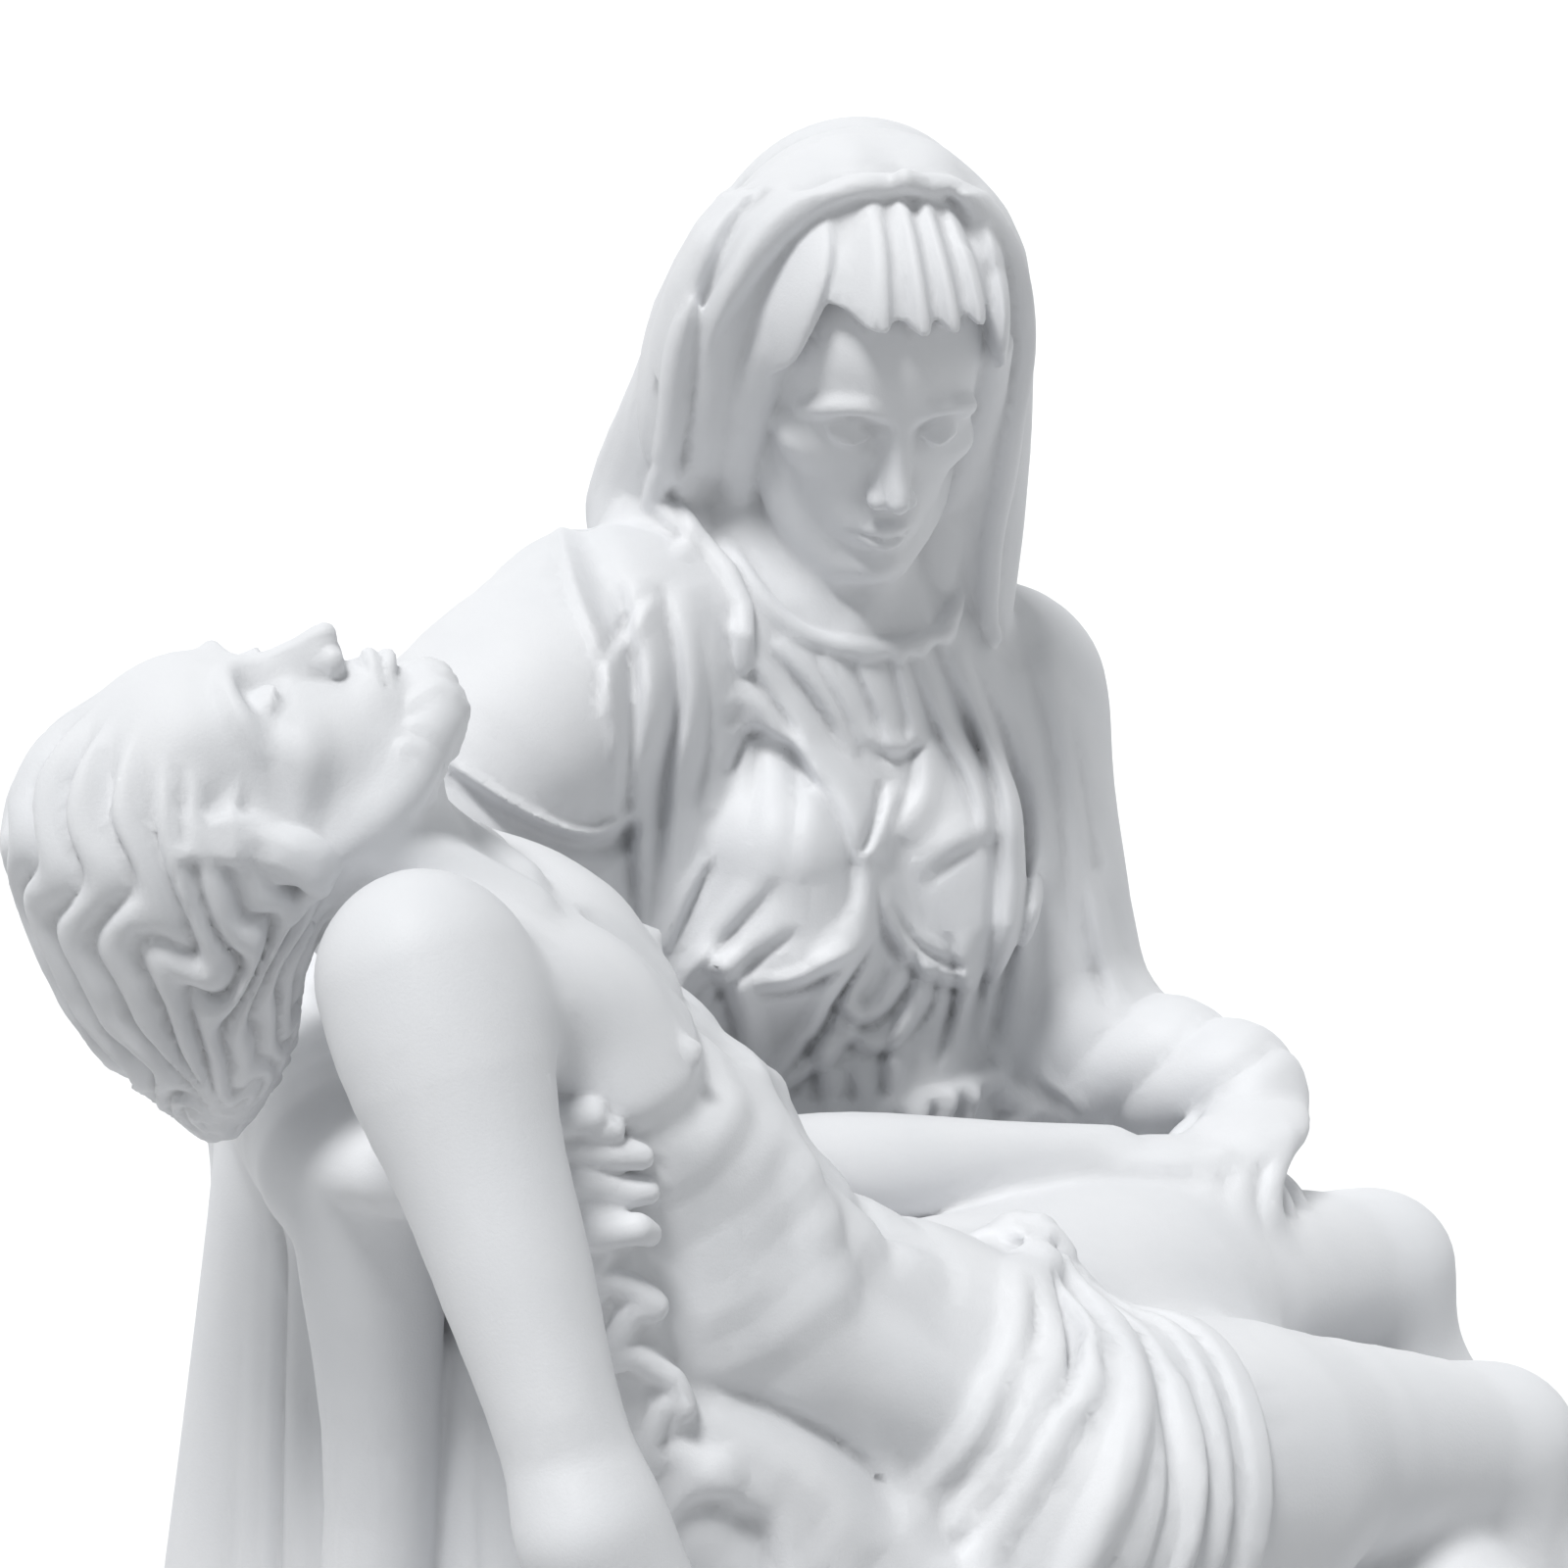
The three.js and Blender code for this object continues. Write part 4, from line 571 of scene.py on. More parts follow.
def bodice_folds(clay):
    """A gathered neckline, thin cloth drawn round each breast, and a girdle with cloth pushed together
    over it and falling from it."""

    def band(x, y, z, rx, ry, drop, over):
        """A line round the front of the body, which hangs lower in the middle."""
        angles = np.linspace(-over, np.pi + over, 14)
        return np.stack([x + rx * np.cos(angles), y - ry * np.sin(angles), z - drop * np.sin(angles)],
                        axis=1)

    clay.lay(band(-10, 16, 213, 18, 13, 9, 0.3), 1.5, 0.5, 1)
    # Places across and up the picture's plane
    strokes = [
        # Gathers from the neckline
        ([(-7, 21), (-2, 14), (4, 6)], 1.0, 1.4, 0.9), ([(-1, 19), (5, 12), (10, 4)], 1.1, 1.5, 0.9),
        ([(5, 17), (9, 10), (12, 3)], 0.9, 1.2, 0.8), ([(10, 17), (13, 10), (15, 4)], 0.9, 1.2, 0.8),
        ([(15, 18), (17, 11), (18, 5)], 0.9, 1.2, 0.8), ([(11, 7), (15, 5), (19, 7)], 0.8, 1.4, 0.7),
        # From her right shoulder down along the mantle's edge
        ([(-13, 26), (-11, 12), (-13, -2), (-15, -22)], 1.8, 2.2, 1.4),
        ([(-19, 27), (-17, 12), (-18, -4), (-17, -24)], 1.6, 1.8, 1.3),
        ([(-16, 24), (-21, 16), (-22, 8)], 1.0, 1.2, 0.9), ([(-9, 20), (-8, 8), (-10, -4)], 0.9, 1.3, 0.6),
        # Round the right breast
        ([(-7, 12), (-2, 9), (6, 2), (11, -7), (11, -17), (4, -24)], 2.2, 2.6, 0.6),
        ([(-8, 2), (-6, 7), (-3, 8)], 0.9, 1.1, 1.2), ([(-3, 8), (2, 5), (5, 0)], 0.4, 1.0, 1.0),
        ([(-14, -25), (-9, -19), (-2, -11)], 1.1, 1.8, 1.0),
        ([(-12, -28), (-6, -22), (1, -17)], 1.1, 1.8, 1.1),
        ([(-16, -22), (-13, -15), (-10, -9)], 0.8, 1.1, 0.9),
        ([(-4, -26), (2, -25), (9, -21)], 1.8, 1.4, 1.6),
        # Cloth pushed up under it
        ([(-15, -28), (-9, -23), (-5, -29), (-4, -38)], 2.4, 2.0, 1.4),
        ([(-3, -40), (3, -33), (6, -27), (11, -19)], 1.5, 1.5, 2.0),
        ([(-6, -45), (1, -39), (6, -36), (10, -30)], 1.6, 1.6, 1.4),
        # Swags between the breasts and the waist
        ([(7, -28), (11, -31), (15, -27), (16, -22)], 1.7, 1.4, 1.4),
        ([(8, -33), (13, -35), (18, -30), (19, -24)], 1.7, 1.5, 1.4),
        ([(5, -33), (6, -40), (7, -48)], 1.6, 1.6, 1.2), ([(10, -38), (11, -44), (10, -50)], 1.3, 1.5, 1.0),
        ([(17, -31), (15, -38), (16, -46)], 1.5, 1.5, 1.2),
        # Round the left breast
        ([(14, -12), (15, -19), (20, -25), (27, -27)], 1.7, 1.6, 1.3),
        ([(15, -15), (19, -21), (25, -24)], 0.7, 1.0, 1.0),
        ([(17, -12), (22, -8), (28, -5)], 0.8, 2.0, 0.6), ([(15, 0), (14, -5), (12, -10)], 1.2, 1.7, 1.5),
        ([(20, 6), (19, -1), (16, -8)], 1.2, 2.0, 0.8), ([(-4, 16), (-1, 3), (-3, -12)], 0.5, 2.2, 0.35),
        ([(1, 12), (4, 1), (3, -13)], 0.6, 2.0, 0.4),
        # Down her left side
        ([(22, 21), (27, 10), (31, -2), (31, -18), (29, -36)], 1.9, 2.2, 1.4),
        ([(27, 19), (33, 6), (36, -8), (34, -24), (31, -40)], 1.7, 2.0, 1.3),
        ([(18, 18), (22, 8), (26, 0), (28, -8)], 1.2, 1.5, 1.0),
        ([(24, -20), (25, -30), (22, -40)], 1.3, 1.5, 1.0),
        # Down the mantle on her left arm
        ([(36, 20), (40, 6), (42, -10), (43, -26)], 1.8, 2.4, 0.6),
        ([(42, 12), (45, -3), (47, -16)], 1.2, 2.0, 1.0),
        ([(32, 16), (36, 3), (38, -12), (38, -28)], 1.2, 2.2, 0.2),
        ([(44, -12), (45, -22), (48, -32)], 1.3, 2.0, 1.1),
    ]
    clay.emboss(strokes, at(-62, -16, 136), at(48, 27, 222))

    # The girdle, with cloth falling from it to the lap
    clay.lay(band(-5, 28, 144, 28, 23, 3, 0), 2.2, 1.0, 1)

    def pleat(x):
        return [at(x, 2, 141), at(1.15 * x, -4, 130), at(1.3 * x, -8, 112)]

    clay.folds(pleat(-26), pleat(18), 8, 2.4, 0.8, 1.6, valley=0.7)


def mantle_front(clay):
    """The mantle's plane over her right shoulder, with its edge, and the sleeve below it."""
    shoulder, elbow = WOMAN["shoulders"][1], WOMAN["elbows"][1]

    def bunched(u, v, w):
        angle = np.arctan2(v, u)
        return 1.5 * rolls(0.5 * w + 2.4 * angle + 0.8 * np.sin(3 * angle))

    sleeve = tube([shoulder, mix(shoulder, elbow, 0.5), mix(shoulder, elbow, 0.9)], [15, 16.5, 15])
    clay.add(Relief([sleeve], Body(shoulder, elbow - shoulder, at(0, -1, 0)), bunched), 3)
    clay.add(tube([at(-43, 24, 206), at(-58, 21, 197), at(-74, 23, 185)], [15, 17.5, 15.5], 0.92), 3)
    # The plane's edge and hem stand a little off the cloth beside and below them
    strokes = [
        ([(-27, 36), (-24, 27), (-20, 17), (-18, 6), (-18, -6)], -1.8, 2.4, -1.6),
        ([(-18, -5), (-23, -8), (-29, -7), (-36, -3), (-43, 2)], -2.4, 1.5, -2.4),
        ([(-24, -11), (-22, -16), (-24, -22)], 1.4, 2.2, 0.9),
        ([(-30, -11), (-29, -17), (-33, -21)], 1.3, 2.0, 0.9),
        ([(-38, -8), (-34, -14), (-27, -18)], 1.2, 1.8, 1.0),
    ]
    clay.emboss(strokes, at(-92, -8, 160), at(-40, 30, 224))


def right_arm(clay):
    """Her right arm holds the man's shoulders; the mantle falls from it to the ground in deep folds."""
    elbow, wrist = WOMAN["elbows"][1], WOMAN["wrists"][1]
    clay.add(tube([elbow, mix(elbow, wrist, 0.5), wrist], [15, 13.5, 10.5]), 8)

    def spread(t):
        return mix(26, 16, t), mix(22, 13, t), mix(34, 18, t), mix(38, 24, t)

    def folds(angle, t):
        sway = 0.3 * np.sin(2 * angle + 1.4) + 0.15 * np.sin(5 * angle + t)
        return rolls(10 * (angle + sway)) * mix(5.5, 2.5, t) + rolls(23 * (angle + sway)) * mix(1.2, 0.5, t)

    clay.add(Hanging(lambda t: (mix(-96, -90, t), mix(10, 14, t)), FOOT, 150, spread, folds, 2.2), 8)

    def fluted(u, v, w):
        angle = np.arctan2(v, u)
        phase = 11 * (angle + 0.25 * np.sin(2 * angle + 0.02 * w)) + 0.5 * np.sin(0.05 * w)
        return 2.4 * rolls(phase) * np.clip(0.9 - w / 90, 0.2, 1)

    side = tube([at(-84, -20, 128), at(-82, -30, 70), at(-80, -36, 4)], [15, 19, 24])
    clay.add(Relief([side], Body(at(-82, -28, 60), at(0, 0, 1), at(0, -1, 0)), fluted), 9)
    # The folds that face the front, each narrow where it leaves the arm
    falls = [([at(-109, -19, 150), at(-105, -14, 112), at(-109, -12, 58), at(-112, -12, 4)],
              [9, 6.5, 8, 10]),
             ([at(-97, 16, 150), at(-103, 21, 92), at(-113, 26, 4)], [9, 9.5, 12]),
             ([at(-96, 0, 146), at(-98, 7, 92), at(-108, 8, 4)], [6, 8.5, 11]),
             ([at(-92, -12, 138), at(-93, -5, 92), at(-104, -8, 4)], [5, 8, 10]),
             ([at(-84, -22, 130), at(-86, -18, 92), at(-96, -24, 4)], [6, 8, 10])]
    for line, radii in falls:
        clay.add(tube(line, radii), 1.6, 4)
    clay.lay([at(-92, -16, 142), at(-97, -7, 118), at(-101, -2, 92), at(-107, 0, 50)], 1.6, 1.6)


def left_arm(clay):
    """Her left arm comes forward to the man's hand; its sleeve falls in long folds."""
    shoulder, elbow, wrist = (WOMAN[joint][-1] for joint in ("shoulders", "elbows", "wrists"))

    def along_arm(u, v, w):
        return 1.3 * rolls(8 * np.arctan2(v, u) + 0.05 * w + 0.9 * np.sin(0.16 * w))

    def round_arm(u, v, w):
        angle = np.arctan2(v, u)
        return 1.3 * rolls(0.62 * w + 2 * angle + 1.2 * np.sin(2 * angle))

    def hanging(u, v, w):
        return 1.6 * rolls(8 * np.arctan2(v, u) + 0.7 * np.sin(0.12 * w))

    upper = tube([shoulder, mix(shoulder, elbow, 0.5), elbow], [12.5, 13, 13])
    clay.add(Relief([upper], Body(shoulder, shoulder - elbow, at(0, -1, 0)), along_arm), 5)
    lower = tube([elbow, mix(elbow, wrist, 0.5), mix(elbow, wrist, 0.86)], [13, 10.5, 9])
    clay.add(Relief([lower], Body(elbow, wrist - elbow, at(0, 0, 1)), round_arm), 3)
    clay.add(Limb(mix(elbow, wrist, 0.7), wrist, 6.5, 4.6), 1)
    fall = tube([elbow, moved(elbow, 2, 6, -20), moved(elbow, 6, 12, -44)], [13, 13, 14])
    clay.add(Relief([fall], Body(elbow, at(0, 0, 1), at(0, -1, 0)), hanging), 6)
    hand(clay, Body(wrist, at(-0.86, -0.45, -0.2), at(0, 0.1, -1)), 34, 0.22, 1)


def right_hand(clay):
    """Her right hand comes round his back under the arm, with its fingers on his ribs."""
    clay.add(tube([WOMAN["wrists"][1], at(-112, -32, 158), at(-109, -44, 160)], [9, 8, 7], 0.7), 4)
    tips = (at(-103, -57, 167), at(-101, -59, 162.6), at(-100.5, -60, 158.4), at(-101.5, -60, 154.6))
    for i, tip in enumerate(tips):
        root = tip - 13 * PICTURE.x + at(0, 2, 1.5 - 0.5 * i)
        clay.lay([root, mix(root, tip, 0.5) + at(0, 0, 0.8), tip], 2.0, 0.5, 0.75, 0.45)


def veil(clay):
    """The veil over her head, open round the face, falling on both shoulders, over a pleated cap."""
    skull, h = WOMAN["head"], WOMAN["head_height"]
    sides = ((1, 1.1), (-1, 0.9))  # each side, and how far the hood stands out there

    def spot(x, y, z):
        return skull.at(x * h, y * h, z * h)

    def pleats(u, v, w):
        """Box pleats down to the cap's edge, which drops at the temples."""
        around = np.arctan2(u, 0.62 * h - 0.3 * w)
        phase = 30 * around + 2.4 * np.sin(5 * around + 1) + 0.9 * np.sin(0.2 * w + 5 * around)
        relief = 1.0 * np.tanh(1.8 * np.sin(phase)) * np.clip(1.9 - 0.05 * w, 0.3, 1)
        edge = h * (0.345 - 2.2 * np.maximum(np.abs(u) / h - 0.22, 0)) - 0.4 * np.tanh(2 * np.sin(phase))
        return relief - 6 * np.clip((edge - w) / 1.2, 0, 1)

    # The lining, and the cap
    clay.add(Egg(skull, 0, -0.1 * h, 0.13 * h, 0.36 * h, 0.4 * h, 0.4 * h), 1)
    for s in (1, -1):
        lining = [spot(0.3 * s, -0.04, 0.26), spot(0.34 * s, -0.02, 0.1), spot(0.35 * s, -0.06, -0.12),
                  spot(0.32 * s, -0.1, -0.4), at(-10 - s * 12, 16, 208)]
        clay.add(tube(lining, [4.6, 4.8, 5.4, 6, 8]), 1)
        side = [spot(0.31 * s, 0.12, 0.16), spot(0.335 * s, 0.05, -0.08), spot(0.32 * s, 0.0, -0.32),
                spot(0.27 * s, -0.02, -0.5)]
        clay.add(tube(side, [3, 3.2, 3.0, 2.6]), 0.6)
    cap = Egg(skull, 0, -0.03 * h, 0.21 * h, 0.37 * h, 0.45 * h, 0.37 * h)
    clay.add(Relief([[cap]], skull, pleats), 0.4)

    def arcs(u, v, w):
        """Folds that lie over the crown and turn down at the back."""
        angle = np.arctan2(u, w)
        line = v + 0.1 * np.abs(u) + 2.0 * np.sin(2.1 * angle + 0.5) + 0.8 * np.sin(0.2 * w)
        deep = 1.4 + 0.6 * np.sin(1.4 * angle + 0.11 * v)
        behind = np.clip(-v / (0.3 * h), 0.15, 1)
        over = (rolls(0.62 * line + 0.9) * deep + 0.45 * rolls(1.7 * line + angle)) * behind
        round_back = np.arctan2(u, -v - 0.1 * h)
        down = 2.0 * rolls(9 * round_back + 1.2 * np.sin(0.1 * w)) * np.clip(1.2 - w / (0.4 * h), 0, 1)
        share = np.clip(-v / (0.15 * h) - 2.2, 0, 1)
        return over * (1 - share) + down * share

    hood = [[Egg(skull, 0, -0.19 * h, 0.18 * h, 0.4 * h, 0.42 * h, 0.455 * h)],
            tube([spot(0, -0.2, 0.22), spot(0.02, -0.46, -0.1), at(-9, 34, 208)], [18.5, 19.5, 22])]
    for s, out in sides:
        fall = [spot(0.1 * s, -0.06, 0.53), spot(0.33 * s * out, -0.07, 0.3),
                spot(0.41 * s * out, -0.1, -0.12), spot(0.45 * s * out, -0.16, -0.5),
                at(-11 - s * 24, 18, 205)]
        hood.append(tube(fall, [6, 7, 8.2, 9.4, 9]))
    clay.add(Relief(hood, skull, arcs, 4), 1.2)
    for s, out in sides:
        edge = [spot(0.0, 0.07, 0.63), spot(0.22 * s, 0.04, 0.55), spot(0.41 * s * out, 0.0, 0.22),
                spot(0.46 * s * out, 0.0, -0.14), spot(0.48 * s * out, -0.04, -0.46),
                at(-11 - s * 23, 10, 203)]
        clay.lay(edge, 1.7, 0.5, 0.9, 0.1)
    # Long folds from the crown to the shoulder, across and up the picture's plane
    strokes = [
        ([(-17, 42), (-16, 50), (-14.5, 58), (-12, 66), (-8, 75), (0, 80)], 1.8, 3.2, 1.0),
        ([(7, 77), (0, 73), (-5, 66), (-8, 57), (-9.5, 48), (-10.5, 40)], 1.5, 2.6, 0.9),
        ([(-14, 74), (-18, 66), (-21, 55), (-22, 44)], 0.9, 2.4, 0.3),
        ([(-14, 42), (-12, 35), (-13, 29)], 1.0, 1.8, 0.4), ([(18, 82), (24, 75), (27, 66)], 1.2, 2.2, 1.0),
    ]
    clay.emboss(strokes, at(-44, -14, 204), at(22, 22, 264))


# Heads and hands

def head(clay, body, height, jaw=1.0):
    """A calm, bare head in its own frame, in shares of its height. The eyes are closed."""
    h = height

    def spot(x, y, z):
        return body.at(x * h, y * h, z * h)

    def lump(x, y, z, rx, ry, rz, fillet):
        clay.add(Egg(body, x * h, y * h, z * h, rx * h, ry * h, rz * h), fillet * h, 2)

    def hollow(x, y, z, rx, ry, rz, fillet):
        clay.carve(Egg(body, x * h, y * h, z * h, rx * h, ry * h, rz * h), fillet * h, 1)

    def ridge(points, radii, fillet):
        clay.add(tube([spot(*p) for p in points], [r * h for r in radii]), fillet * h, 2)

    def crease(points, radius, fillet=0.008):
        clay.carve(tube([spot(*p) for p in points], [radius * h] * len(points)), fillet * h, 1)

    # The skull, the mid-face and the jaw
    lump(0, -0.06, 0.13, 0.325, 0.42, 0.365, 0.1)
    lump(0, 0.10, 0.14, 0.255, 0.235, 0.2, 0.08)
    lump(0, 0.10, -0.08, 0.255, 0.235, 0.27, 0.1)
    lump(0, 0.12, -0.27, 0.19 * jaw, 0.2, 0.2, 0.1)
    for s in (1, -1):
        ridge([(0.245 * s * jaw, -0.02, -0.17), (0.2 * s * jaw, 0.1, -0.33), (0.07 * s * jaw, 0.25, -0.44)],
              [0.055, 0.06, 0.055], 0.08)
        lump(0.19 * s, 0.19, -0.085, 0.08, 0.075, 0.055, 0.07)
        ridge([(0.2 * s, 0.16, -0.07), (0.27 * s, 0.02, -0.05)], [0.04, 0.035], 0.06)
    lump(0, 0.29, -0.42, 0.075, 0.07, 0.06, 0.05)
    # Brow, eyes and their lids
    for s in (1, -1):
        ridge([(0.03 * s, 0.34, 0.06), (0.12 * s, 0.345, 0.085), (0.21 * s, 0.285, 0.06),
               (0.25 * s, 0.21, 0.02)],
              [0.02, 0.026, 0.024, 0.02], 0.04)
        hollow(0.125 * s, 0.39, 0, 0.09, 0.085, 0.06, 0.05)
        lump(0.125 * s, 0.272, -0.003, 0.062, 0.062, 0.055, 0.012)
        ridge([(0.068 * s, 0.318, -0.006), (0.125 * s, 0.340, -0.024), (0.182 * s, 0.310, -0.008)],
              [0.008, 0.011, 0.008], 0.012)
        crease([(0.066 * s, 0.322, -0.016), (0.125 * s, 0.342, -0.036), (0.184 * s, 0.312, -0.018)], 0.006)
        crease([(0.065 * s, 0.322, 0.014), (0.125 * s, 0.340, 0.036), (0.19 * s, 0.305, 0.012)], 0.006)
    # Nose
    ridge([(0, 0.325, 0.05), (0, 0.33, -0.05), (0, 0.365, -0.16)], [0.03, 0.042, 0.055], 0.03)
    ridge([(0, 0.335, 0.06), (0, 0.352, 0), (0, 0.392, -0.09), (0, 0.43, -0.16)],
          [0.028, 0.024, 0.026, 0.032], 0.02)
    for s in (1, -1):
        lump(0.046 * s, 0.375, -0.178, 0.026, 0.038, 0.028, 0.012)
        hollow(0.021 * s, 0.405, -0.222, 0.012, 0.022, 0.016, 0.008)
    # Mouth and chin
    lump(0, 0.27, -0.29, 0.115, 0.095, 0.085, 0.05)
    crease([(0, 0.372, -0.215), (0, 0.378, -0.255)], 0.012, 0.02)
    for s in (1, -1):
        ridge([(0.085 * s, 0.322, -0.298), (0.045 * s, 0.358, -0.284), (0.015 * s, 0.374, -0.276),
               (0, 0.371, -0.279)],
              [0.008, 0.017, 0.02, 0.018], 0.012)
        ridge([(0.078 * s, 0.322, -0.306), (0.035 * s, 0.362, -0.322), (0, 0.369, -0.326)],
              [0.008, 0.02, 0.023], 0.012)
        crease([(0.088 * s, 0.325, -0.301), (0.04 * s, 0.372, -0.299), (0, 0.385, -0.302)], 0.006)
    crease([(-0.05, 0.365, -0.372), (0, 0.375, -0.375), (0.05, 0.365, -0.372)], 0.02, 0.04)
    for s in (1, -1):
        hollow(0.34 * s, 0.2, 0.1, 0.05, 0.12, 0.12, 0.1)
        lump(0.325 * s, -0.03, -0.06, 0.03, 0.06, 0.1, 0.03)


def hand(clay, body, length, curl, thumb):
    """A hand from the wrist: the frame's z runs to the fingers and its y out of the palm.
    Thumb is the side, along x, that the thumb is on."""
    s = length
    palm = [body.at(0, 0, 0), body.at(0, 0, 0.24 * s), body.at(0, -0.01 * s, 0.44 * s)]
    clay.add(tube(palm, [0.135 * s, 0.215 * s, 0.205 * s], 0.45, body.y), 2)
    clay.add(Egg(body, thumb * 0.13 * s, 0.05 * s, 0.2 * s, 0.1 * s, 0.08 * s, 0.17 * s), 1.5)
    reaches = [0.40, 0.455, 0.42, 0.33]
    bases = [0.45, 0.475, 0.455, 0.41]
    for i in range(4):
        x = thumb * (1.5 - i) * 0.108 * s
        knuckle = Egg(body, x * 0.95, -0.035 * s, bases[i] * s - 0.02 * s, 0.052 * s, 0.05 * s, 0.07 * s)
        clay.add(knuckle, 0.9)
        line = [body.at(x * 0.9, 0, (bases[i] - 0.1) * s), body.at(x, -0.01 * s, bases[i] * s)]
        bend = curl * (0.4 + 0.15 * i)
        for share in (0.42, 0.32, 0.26):
            step = body.z * math.cos(bend) + body.y * math.sin(bend) + body.x * (0.07 * x / s)
            line.append(line[-1] + step * reaches[i] * s * share)
            bend += curl * (1 + 0.12 * i)
        size = 0.052 if i < 3 else 0.046
        radii = [size, size * 1.06, size * 1.02, size * 0.93, size * 0.74]
        clay.add(tube(line, [r * s for r in radii]), 0.5)
    line = [body.at(thumb * 0.1 * s, 0.03 * s, 0.06 * s), body.at(thumb * 0.25 * s, 0.09 * s, 0.26 * s),
            body.at(thumb * 0.3 * s, 0.13 * s, 0.42 * s), body.at(thumb * 0.285 * s, 0.15 * s, 0.54 * s)]
    clay.add(tube(line, [0.09 * s, 0.075 * s, 0.06 * s, 0.045 * s]), 1.2)


# The man

def trunk(clay):
    """The man's trunk: rib cage, breast, belly and hips."""
    chest, pelvis, shoulders, hips = MAN["chest"], MAN["pelvis"], MAN["shoulders"], MAN["hips"]
    clay.add(Egg(chest, 0, 0, 1, 23.5, 15.5, 29), 8)
    clay.add(tube([shoulders[1] + at(5, 5, -1), chest.at(0, -2, 24), shoulders[-1]], [8.5, 11.5, 9.5]), 12)
    waist = [chest.at(0, -2, -14), pelvis.at(0, -2, 32), pelvis.at(0, -2, 18), pelvis.at(0, -2, 2)]
    clay.add(tube(waist, [20.5, 17.5, 18, 20], 0.72, pelvis.y), 8)
    clay.add(Limb(hips[1], hips[-1], 15.5, 15.5), 9)
    back = [at(-97, -42, 158), at(-91, -44, 144), at(-82, -46, 130), at(-68, -48, 114)]
    clay.add(tube(back, [10, 12, 13, 13]), 8)
    for s in (1, -1):
        # Breast, collar bone and the sheet of muscle from the breast to the shoulder
        clay.add(Egg(chest, 11 * s, 7.4, 12, 14, 6.2, 11), 8)
        shoulder = shoulders[s]
        clay.add(tube([chest.at(9 * s, 8, 17), mix(chest.at(16 * s, 7, 20), shoulder, 0.4), shoulder],
                      [6.5, 7, 6]), 6)
        clay.add(tube([chest.at(4 * s, 8, 29), chest.at(15 * s, 7.5, 31), shoulder + at(0, 0, 6)],
                      [2.2, 1.8, 2.2]), 3.5)
        # The edge of the rib cage, and the two long muscles of the belly below it
        rim = [chest.at(2.5 * s, 13, -7), chest.at(9 * s, 12, -15), chest.at(16 * s, 7.5, -22),
               chest.at(21 * s, 0, -27)]
        clay.add(tube(rim, [2.6, 3, 3.2, 3]), 5)
        belly = [chest.at(5 * s, 8, -18), pelvis.at(5.4 * s, 6, 28), pelvis.at(5 * s, 7.5, 14),
                 pelvis.at(4 * s, 8, 2)]
        clay.add(tube(belly, [5, 5.6, 5.8, 5]), 4)
        flank = [chest.at(20 * s, -2, -14), pelvis.at(16.5 * s, -1, 26), pelvis.at(17.5 * s, 1, 12)]
        clay.add(tube(flank, [6, 6.5, 5.5]), 6)
        clay.add(tube([pelvis.at(19 * s, -3, 9), pelvis.at(17 * s, 6, 6), pelvis.at(10 * s, 10, -3)],
                      [3, 2.6, 2.4]), 5)
        # Ribs, with the teeth of the muscle over them at the side
        for i in range(5):
            z = 1 - 6 * i
            clay.lay([chest.at(10 * s, 14, z - 4), chest.at(18 * s, 9, z - 1), chest.at(24 * s, 0, z + 4),
                      chest.at(25 * s, -8, z + 9)], 1.3, 4.4, 0.3, -0.95)
        clay.add(Egg(chest, 13.5 * s, 14.8, 8, 2.2, 0.8, 2.2), 1.0)
        clay.add(Egg(chest, 13.5 * s, 15.3, 8, 1.1, 1.1, 1.1), 0.8)
        # The lower edge of the breast
        clay.groove([chest.at(3 * s, 16, 4), chest.at(11 * s, 16, 2.4), chest.at(20 * s, 11, 6),
                     chest.at(25 * s, 4, 13)],
                    1.3, 3.4, 0.3)
    clay.groove([chest.at(0, 17, 22), chest.at(0, 16, 8), chest.at(0, 15, -5)], 1.2, 3, 0.5)
    clay.groove([chest.at(0, 14, -11), pelvis.at(0, 13, 34), pelvis.at(0, 14, 17)], 1.1, 3, 0.4)
    for z in (30, 21):
        clay.groove([pelvis.at(-9, 11, z), pelvis.at(0, 13, z - 1), pelvis.at(9, 11, z)], 1.0, 3, 0.25)
    clay.carve(Egg(pelvis, 0, 14.5, 13, 1.1, 2.6, 1.7), 1.6)
    clay.carve(Egg(chest, 0, 13, 31, 2.6, 2.4, 2.2), 2.4)


def legs(clay):
    """His legs, over her lap and down beside her knee."""
    for side in (1, -1):
        hip, knee, ankle = (MAN[joint][side] for joint in ("hips", "knees", "ankles"))
        thigh = [hip, moved(mix(hip, knee, 0.3), 0, 0, 2), moved(mix(hip, knee, 0.7), 0, 0, 2), knee]
        clay.add(tube(thigh, [17, 17.5, 13.5, 11]), 6)
        shin = [knee, moved(mix(knee, ankle, 0.3), -4, 3, 0), moved(mix(knee, ankle, 0.65), -2, 1, 0), ankle]
        clay.add(tube(shin, [10.4, 10.8, 7.6, 5.4]), 5)
        clay.add(Limb(moved(knee, 3, -3, 2), moved(knee, 4, -3, -5), 7.5, 6.5), 5)
        edge = [moved(knee, 6, -7, -10), moved(mix(knee, ankle, 0.4), 3, -6, 0),
                moved(mix(knee, ankle, 0.8), 1, -3, 0)]
        clay.add(tube(edge, [3, 3.2, 2.8]), 4)
        foot(clay, ankle, MAN["toes"][side], MAN["ankles"][-side] - ankle)


